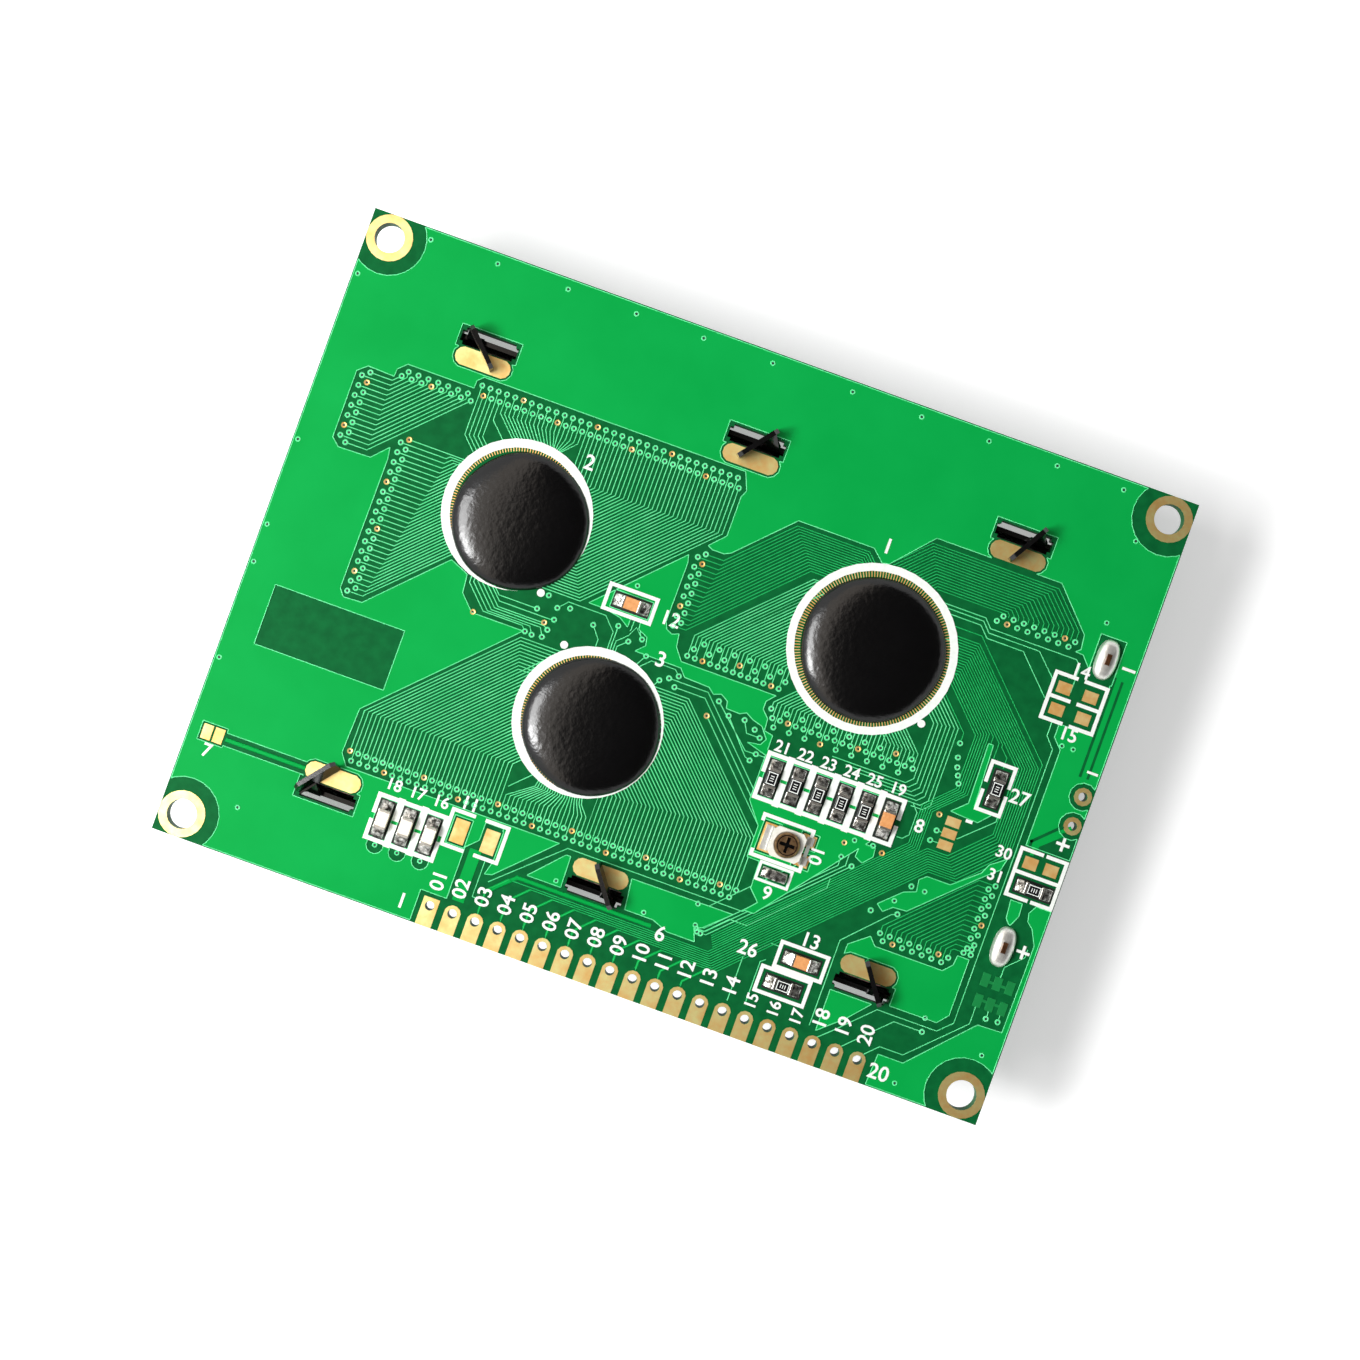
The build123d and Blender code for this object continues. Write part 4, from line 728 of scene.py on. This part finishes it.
frame_round(37.1, 29.0, 42.35, 31.7)
frame_round(67.1, 58.6, 72.3, 61.3)
frame_round(66.0, 61.7, 71.4, 64.4)
frame_round(84.75, 21.75, 90.5, 26.8, [(87.0, 88.1)])
line((84.75, 24.3), (87.0, 24.3))
line((88.1, 24.3), (90.5, 24.3))
frame_round(87.65, 40.6, 92.7, 45.75, [(89.9, 90.6)])
line((87.65, 43.1), (92.7, 43.1))
line((81.6, 35.1), (81.6, 33.0), (84.2, 33.0), (84.2, 35.1))
line((81.6, 36.3), (81.6, 38.3), (84.2, 38.3), (84.2, 36.3))
frame_round(62.1, 51.35, 65.6, 53.25, width=0.3)
line((60.75, 46.5), (66.25, 46.5), (66.25, 50.95), (60.75, 50.95))
line((60.75, 46.5), (60.75, 47.0))
line((60.75, 50.95), (60.75, 50.5))
line((31.8, 57.2), (29.5, 57.2), (29.5, 61.1), (31.8, 61.1))
line((33.3, 57.2), (35.7, 57.2), (35.7, 61.1), (33.3, 61.1))

# White blocks with a window for every chip in them: their bars, wider between two chips
OUTER_BAR = 0.45
INNER_BAR = 0.75
OUTER_INSET = 0.17
for x0, pitch, count, y, high in [(60.15, 2.6, 6, 42.65, 5.3), (22.75, 2.62, 3, 60.75, 5.2)]:
    for i in range(count + 1):
        outer = (i == 0) - (i == count)
        x = x0 + (i - 0.5) * pitch + outer * OUTER_INSET
        for side in (-1, 1):
            line((x, y + side * 0.55), (x, y + side * (high / 2 - 0.25)),
                 width=OUTER_BAR if outer else INNER_BAR)
    for side in (-1, 1):
        level = y + side * (high / 2 - 0.2)
        line((x0 - pitch / 2 + OUTER_INSET, level),
             (x0 + (count - 0.5) * pitch - OUTER_INSET, level), width=OUTER_BAR)

# Round dots beside the drops
DOT_RADIUS = 0.42
for x, y in [(30.4, 32.5), (34.6, 36.85), (73.1, 31.85)]:
    bmesh.ops.create_cone(print_work, cap_ends=True, segments=20, radius1=DOT_RADIUS * MM,
                          radius2=DOT_RADIUS * MM, depth=0.04 * MM,
                          matrix=Matrix.Translation(at(x, y, FOIL_TOP + 0.01)))
line((81.2, 39.9), (81.6, 39.9), width=0.35)
piece("printed_frames", print_work, [screen_print])

# Plain numbers where the board carries its part marks: (number, place, height, turn)
NUMBERS = [
    ("1", (63.4, 15.4), 1.7, 0), ("2", (30.6, 17.8), 1.7, 0), ("3", (44.8, 34.9), 1.7, 0),
    ("12", (44.3, 30.5), 1.6, 0), ("13", (69.9, 57.6), 1.6, 0), ("14", (87.2, 20.9), 1.5, 0),
    ("15", (88.2, 27.7), 1.5, 0), ("18", (22.7, 57.0), 1.3, 0), ("17", (25.35, 57.0), 1.3, 0),
    ("16", (28.0, 57.0), 1.3, 0), ("11", (31.0, 56.2), 1.5, 0), ("21", (60.15, 39.25), 1.3, 0),
    ("22", (62.75, 39.25), 1.3, 0), ("23", (65.35, 39.25), 1.3, 0), ("24", (67.95, 39.25), 1.3, 0),
    ("25", (70.55, 39.25), 1.3, 0), ("19", (73.15, 39.25), 1.3, 0), ("26", (63.9, 60.6), 1.6, 0),
    ("27", (85.6, 35.8), 1.6, 0), ("30", (86.0, 41.8), 1.3, 0), ("31", (86.0, 44.4), 1.3, 0),
    ("+", (91.6, 39.0), 2.2, 0), ("+", (91.5, 51.2), 2.2, 0), ("−", (91.9, 19.2), 2.2, 0),
    ("−", (92.0, 30.8), 1.8, 0), ("7", (2.7, 60.3), 1.5, 0), ("8", (76.6, 42.2), 1.5, 0),
    ("9", (63.8, 54.4), 1.5, 0), ("10", (67.3, 48.8), 1.5, -90), ("6", (54.6, 62.3), 1.7, 0),
    ("1", (27.6, 68.3), 1.7, 0), ("20", (81.4, 68.3), 1.7, 0),
]
# The header's numbers stand on end. Three are smaller and lower, under a resistor's frame
for i, x in enumerate(PAD_X):
    y, high = (65.65, 1.3) if i in (14, 15, 16) else (64.9, 1.6)
    NUMBERS.append((f"{i + 1:02d}", (x + 0.05, y), high, 90))

# A font's size is this many times the height of its figures
SIZE_TO_HEIGHT = 1.35

marks = bmesh.new()
for text, (x, y), high, turn in NUMBERS:
    words = bpy.data.curves.new("number", "FONT")
    words.body = text
    words.align_x = "CENTER"
    words.align_y = "CENTER"
    words.size = high * SIZE_TO_HEIGHT
    words.offset = 0.035
    words.extrude = 0.015
    words.resolution_u = 3
    data = meshed("number", words)
    turned = Matrix.Rotation(math.radians(turn), 4, "Z") @ Matrix.Diagonal((MM, MM, MM, 1))
    data.transform(Matrix.Translation(at(x, y, FOIL_TOP + 0.02)) @ turned)
    marks.from_mesh(data)
    bpy.data.meshes.remove(data)
piece("part_numbers", marks, [screen_print])


# ------------------------------------------------------------------------------------
# Epoxy drops: poured domes with a rolled edge
# ------------------------------------------------------------------------------------
# Half a section through a drop: radius and height as shares of the whole
DOME_SECTION = [(0.0, 1.0), (0.22, 0.985), (0.42, 0.94), (0.6, 0.85), (0.75, 0.72), (0.87, 0.54),
                (0.95, 0.33), (0.99, 0.14), (1.0, 0.0)]


def dome(name, x, y, radius, high, phase):
    """A poured drop. Its outline waves a little, as resin runs."""
    shape = bmesh.new()
    middle = at(x, y)
    points = [shape.verts.new(middle + Vector((r * radius * MM, 0, h * high * MM)))
              for r, h in DOME_SECTION]
    edges = [shape.edges.new(pair) for pair in zip(points, points[1:])]
    bmesh.ops.spin(shape, geom=points + edges, cent=middle, axis=(0, 0, 1), angle=2 * math.pi,
                   steps=96, use_merge=True)
    bmesh.ops.remove_doubles(shape, verts=shape.verts, dist=0.002 * MM)
    for vert in shape.verts:
        out = vert.co - middle
        turn = math.atan2(out.y, out.x)
        wave = 0.008 * math.sin(3 * turn + phase) + 0.006 * math.sin(5 * turn + 2 * phase)
        vert.co.x += out.x * wave
        vert.co.y += out.y * wave
    ends = [e for e in shape.edges if len(e.link_faces) == 1]
    bmesh.ops.contextual_create(shape, geom=ends)
    return piece(name, shape, [epoxy], smooth=True)


for name, x, y, radius, high, phase in [
    ("epoxy_drop_u1", 65.6, 26.2, 7.75, 1.5, 0.4), ("epoxy_drop_u2", 25.8, 26.15, 7.35, 1.4, 2.6),
    ("epoxy_drop_u3", 40.3, 44.0, 7.4, 1.4, 4.4),
]:
    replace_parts(dome("poured_" + name, x, y, radius, high, phase), name)


# ------------------------------------------------------------------------------------
# Chips, with tinned caps and the solder that climbs them
# ------------------------------------------------------------------------------------
joints = bmesh.new()
shade_sheets = bmesh.new()
PRINT_THICK = 0.012


def lie(along_x):
    """How a chip lies: its turn in degrees, and the direction of its long side."""
    return (0, 1, 0) if along_x else (90, 0, 1)


def chip(name, x, y, along_x, high, ceramic, slot):
    """A chip lying on its pads: a body, two wrapped end caps and, on a resistor, a white print."""
    shape = bmesh.new()
    turn, ux, uy = lie(along_x)
    soften(shape, block(shape, (x, y, FOIL_TOP), (1.7, 1.28, high), turn), 0.04)
    for side in (-0.9, 0.9):
        cap = block(shape, (x + ux * side, y + uy * side, FOIL_TOP), (0.3, 1.33, high + 0.03), turn, 1)
        soften(shape, cap, 0.08)
    if slot == "resistor":
        top = FOIL_TOP + high
        for part in (-0.25, 0.0, 0.25):
            block(shape, (x + ux * part, y + uy * part, top), (0.08, 0.42, PRINT_THICK), turn, 2)
        for side in (-1, 1):
            across, along = side * 0.62, side * 0.46
            block(shape, (x + ux * across, y + uy * across, top), (0.1, 1.05, 0.014), turn, 2)
            block(shape, (x + uy * along, y + ux * along, top), (1.2, 0.09, PRINT_THICK), turn, 2)
    return piece(name, shape, [ceramic, tinned, screen_print])


def solder_ends(x, y, along_x, high):
    """The ramps of solder at both ends of a chip, and a dark sheet of painted shade in the window that
    it lies in.
    """
    turn, ux, uy = lie(along_x)
    block(shade_sheets, (x, y, FOIL_TOP), (4.3, 1.75, PRINT_THICK), turn)
    for side in (-1, 1):
        ramp_x, ramp_y = x + ux * side * 1.48, y + uy * side * 1.48
        ramp = block(joints, (ramp_x, ramp_y, FOIL_TOP - 0.05), (1.05, 1.36, high * 0.85 + 0.05), turn)
        toe = at(ramp_x, ramp_y, FOIL_TOP + 0.1)
        for vert in ramp:
            out = (vert.co.x - toe.x) * ux - (vert.co.y - toe.y) * uy
            if vert.co.z > toe.z and out * side > 0:
                vert.co.z = toe.z
        soften(joints, ramp, 0.12, 3)


RESISTORS = [(f"resistor_r{i + 1}", 60.15 + 2.6 * i, 42.7, False) for i in range(5)] + [
    ("resistor_r6", 68.7, 63.05, True), ("resistor_r7", 82.95, 35.7, False),
    ("resistor_r10", 90.3, 44.45, True)]
TAN = [("capacitor_c2", 39.9, 30.4, True), ("capacitor_c3", 69.7, 60.0, True),
       ("capacitor_c9", 73.15, 42.7, False)]
CREAM = [("capacitor_c6", 28.0, 60.75, False), ("capacitor_c7", 25.35, 60.75, False),
         ("capacitor_c8", 22.75, 60.75, False)]
for group, high, ceramic, slot in [(RESISTORS, 0.5, resistor_glaze, "resistor"),
                                   (TAN, 0.85, tan_ceramic, "tan_capacitor"),
                                   (CREAM, 0.85, cream_ceramic, "cream_capacitor")]:
    for name, x, y, along_x in group:
        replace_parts(chip("fitted_" + name, x, y, along_x, high, ceramic, slot), name)
        solder_ends(x, y, along_x, high)

# The joints' colour has painted glints and painted dark reflections
fillets = piece("solder_joints", joints, [joint_painted_glints], smooth=True)
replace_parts(fillets, "solder_fillets")
# The sheets of painted shade under the chips
piece("chip_painted_shade", shade_sheets, [painted_chip_shade])

# The link beside the trimmer: a lump of solder, a block whose edges have flowed
link = bmesh.new()
block(link, (63.85, 52.3, FOIL_TOP - 0.1), (2.9, 1.1, 0.65))
bmesh.ops.subdivide_edges(link, edges=link.edges[:], cuts=3, use_grid_fill=True)
for _ in range(2):
    bmesh.ops.smooth_vert(link, verts=link.verts[:], factor=0.5, use_axis_x=True,
                          use_axis_y=True, use_axis_z=True)
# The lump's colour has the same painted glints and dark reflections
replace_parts(piece("solder_bridge", link, [joint_painted_glints], smooth=True), "solder_link")

# Drops of solder on the leads: half an egg, squarer than an ellipse seen from above
for name in ("solder_k", "solder_a"):
    low, high = (Vector(corner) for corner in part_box(name))
    middle = Vector(((low.x + high.x) / 2, (low.y + high.y) / 2, low.z))
    size = Matrix.Diagonal(((high.x - low.x) / 2, (high.y - low.y) / 2, high.z - low.z, 1))
    blob = bmesh.new()
    bmesh.ops.create_icosphere(blob, subdivisions=4, radius=1)
    for vert in blob.verts:
        vert.co.x = math.copysign(abs(vert.co.x) ** 0.75, vert.co.x)
        vert.co.y = math.copysign(abs(vert.co.y) ** 0.85, vert.co.y)
    bmesh.ops.transform(blob, verts=blob.verts, matrix=Matrix.Translation(middle) @ size)
    bmesh.ops.bisect_plane(blob, geom=blob.verts[:] + blob.edges[:] + blob.faces[:],
                           plane_co=middle, plane_no=(0, 0, 1), clear_inner=True)
    ends = [e for e in blob.edges if len(e.link_faces) == 1]
    bmesh.ops.contextual_create(blob, geom=ends)
    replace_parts(piece("flowed_" + name, blob, [solder], smooth=True), name)


# Painted shade in the rotor's slot, and a dark painted ring where the turned groove round it lies: both
# turn with it
ROTOR_X, ROTOR_Y = 64.0, 48.75
SLOT_FLOOR = 12.09
ROTOR_TOP = 12.496
GROOVE_STEPS = 36
shade = bmesh.new()
for size in ((1.66, 0.36, 0.012), (0.36, 1.66, 0.014)):
    block(shade, (ROTOR_X, ROTOR_Y, SLOT_FLOOR), size)


def groove_edge(radius):
    """The vertices of one edge of the painted ring of groove shade."""
    turns = [2 * math.pi * t / GROOVE_STEPS for t in range(GROOVE_STEPS)]
    return [shade.verts.new(at(ROTOR_X + radius * math.cos(turn), ROTOR_Y + radius * math.sin(turn),
                               ROTOR_TOP)) for turn in turns]


outer, inner = groove_edge(1.1), groove_edge(1.0)
for t in range(GROOVE_STEPS):
    after = (t + 1) % GROOVE_STEPS
    shade.faces.new((outer[t], outer[after], inner[after], inner[t]))
# The painted shade wears the black epoxy's finish
piece("rotor_shade", shade, [epoxy], body="rotor")


# ------------------------------------------------------------------------------------
# Floor, flag and world
# ------------------------------------------------------------------------------------
def flat(name, size, matrix, material):
    """A single flat face of the studio."""
    shape = bmesh.new()
    bmesh.ops.create_grid(shape, x_segments=1, y_segments=1, size=size, matrix=matrix)
    data = bpy.data.meshes.new(name)
    shape.to_mesh(data)
    shape.free()
    data.materials.append(material)
    return new_object(name, data)


def directly_seen(tree):
    """1 on a ray from the camera, straight or by way of gloss or glass, and 0 on the others."""
    rays = add(tree, "ShaderNodeLightPath").outputs
    seen = rays["Is Camera Ray"]
    for kind in ("Is Glossy Ray", "Is Transmission Ray"):
        seen = add(tree, "ShaderNodeMath", {0: seen, 1: rays[kind]}, operation="MAXIMUM").outputs[0]
    return seen


# A flag over the board, from 0.3 m left of it to 0.88 m right: gloss shows it instead of the
# white room. Its left end is bright and the rest, from 0.05 m left on, is dark
FLAG_BRIGHT = 1.5
FLAG_DARK = 0.04
cloth = bpy.data.materials.new("dark_cloth")
tree = fresh_tree(cloth)
across = add(tree, "ShaderNodeSeparateXYZ", {0: add(tree, "ShaderNodeTexCoord").outputs["Object"]})
fade = add(tree, "ShaderNodeMapRange",
           {0: across.outputs[0], 1: -0.16, 2: -0.05, 3: FLAG_BRIGHT, 4: FLAG_DARK},
           interpolation_type="SMOOTHSTEP")
dull = add(tree, "ShaderNodeEmission", {"Color": (1.0, 0.9, 0.8, 1.0), "Strength": fade.outputs[0]})
add(tree, "ShaderNodeOutputMaterial", {"Surface": dull.outputs[0]})
flag = flat("flag", 0.5, Matrix.Translation((0.29, 0, 0.46)) @ Matrix.Diagonal((1.18, 1.4, 1, 1)),
            cloth)
flag.visible_camera = False
flag.visible_diffuse = False
flag.visible_shadow = False

# Paper floor, a hair under the bezel. It glows a little where it is seen directly, which makes
# it white without more light on the board, and it is clear from below
FLOOR_GLOW = 0.35
paper = bpy.data.materials.new("white_paper")
tree = fresh_tree(paper)
glow = add(tree, "ShaderNodeMath", {0: directly_seen(tree), 1: FLOOR_GLOW}, operation="MULTIPLY")
sheet = add(tree, "ShaderNodeBsdfPrincipled",
            {"Base Color": hue("#F0F0F0"), "Roughness": 0.9, "Emission Color": (1, 1, 1, 1),
             "Emission Strength": glow.outputs[0]})
clear = add(tree, "ShaderNodeBsdfTransparent")
sides = add(tree, "ShaderNodeMixShader", {0: add(tree, "ShaderNodeNewGeometry").outputs["Backfacing"],
                                          1: sheet.outputs[0], 2: clear.outputs[0]})
add(tree, "ShaderNodeOutputMaterial", {"Surface": sides.outputs[0]})
floor = flat("floor", 1.5, Matrix.Translation((0, 0, -0.0001)), paper)

# White room: it lights the board less than it shows
WORLD_LIGHT = 0.33
WORLD_SEEN = 1.0
world = bpy.data.worlds.new("studio")
bpy.context.scene.world = world
tree = fresh_tree(world)
level = add(tree, "ShaderNodeMapRange",
            {0: directly_seen(tree), 1: 0.0, 2: 1.0, 3: WORLD_LIGHT, 4: WORLD_SEEN})
sky = add(tree, "ShaderNodeBackground", {"Color": (1, 1, 1, 1), "Strength": level.outputs[0]})
add(tree, "ShaderNodeOutputWorld", {"Surface": sky.outputs[0]})

bpy.context.scene.view_settings.view_transform = "Standard"
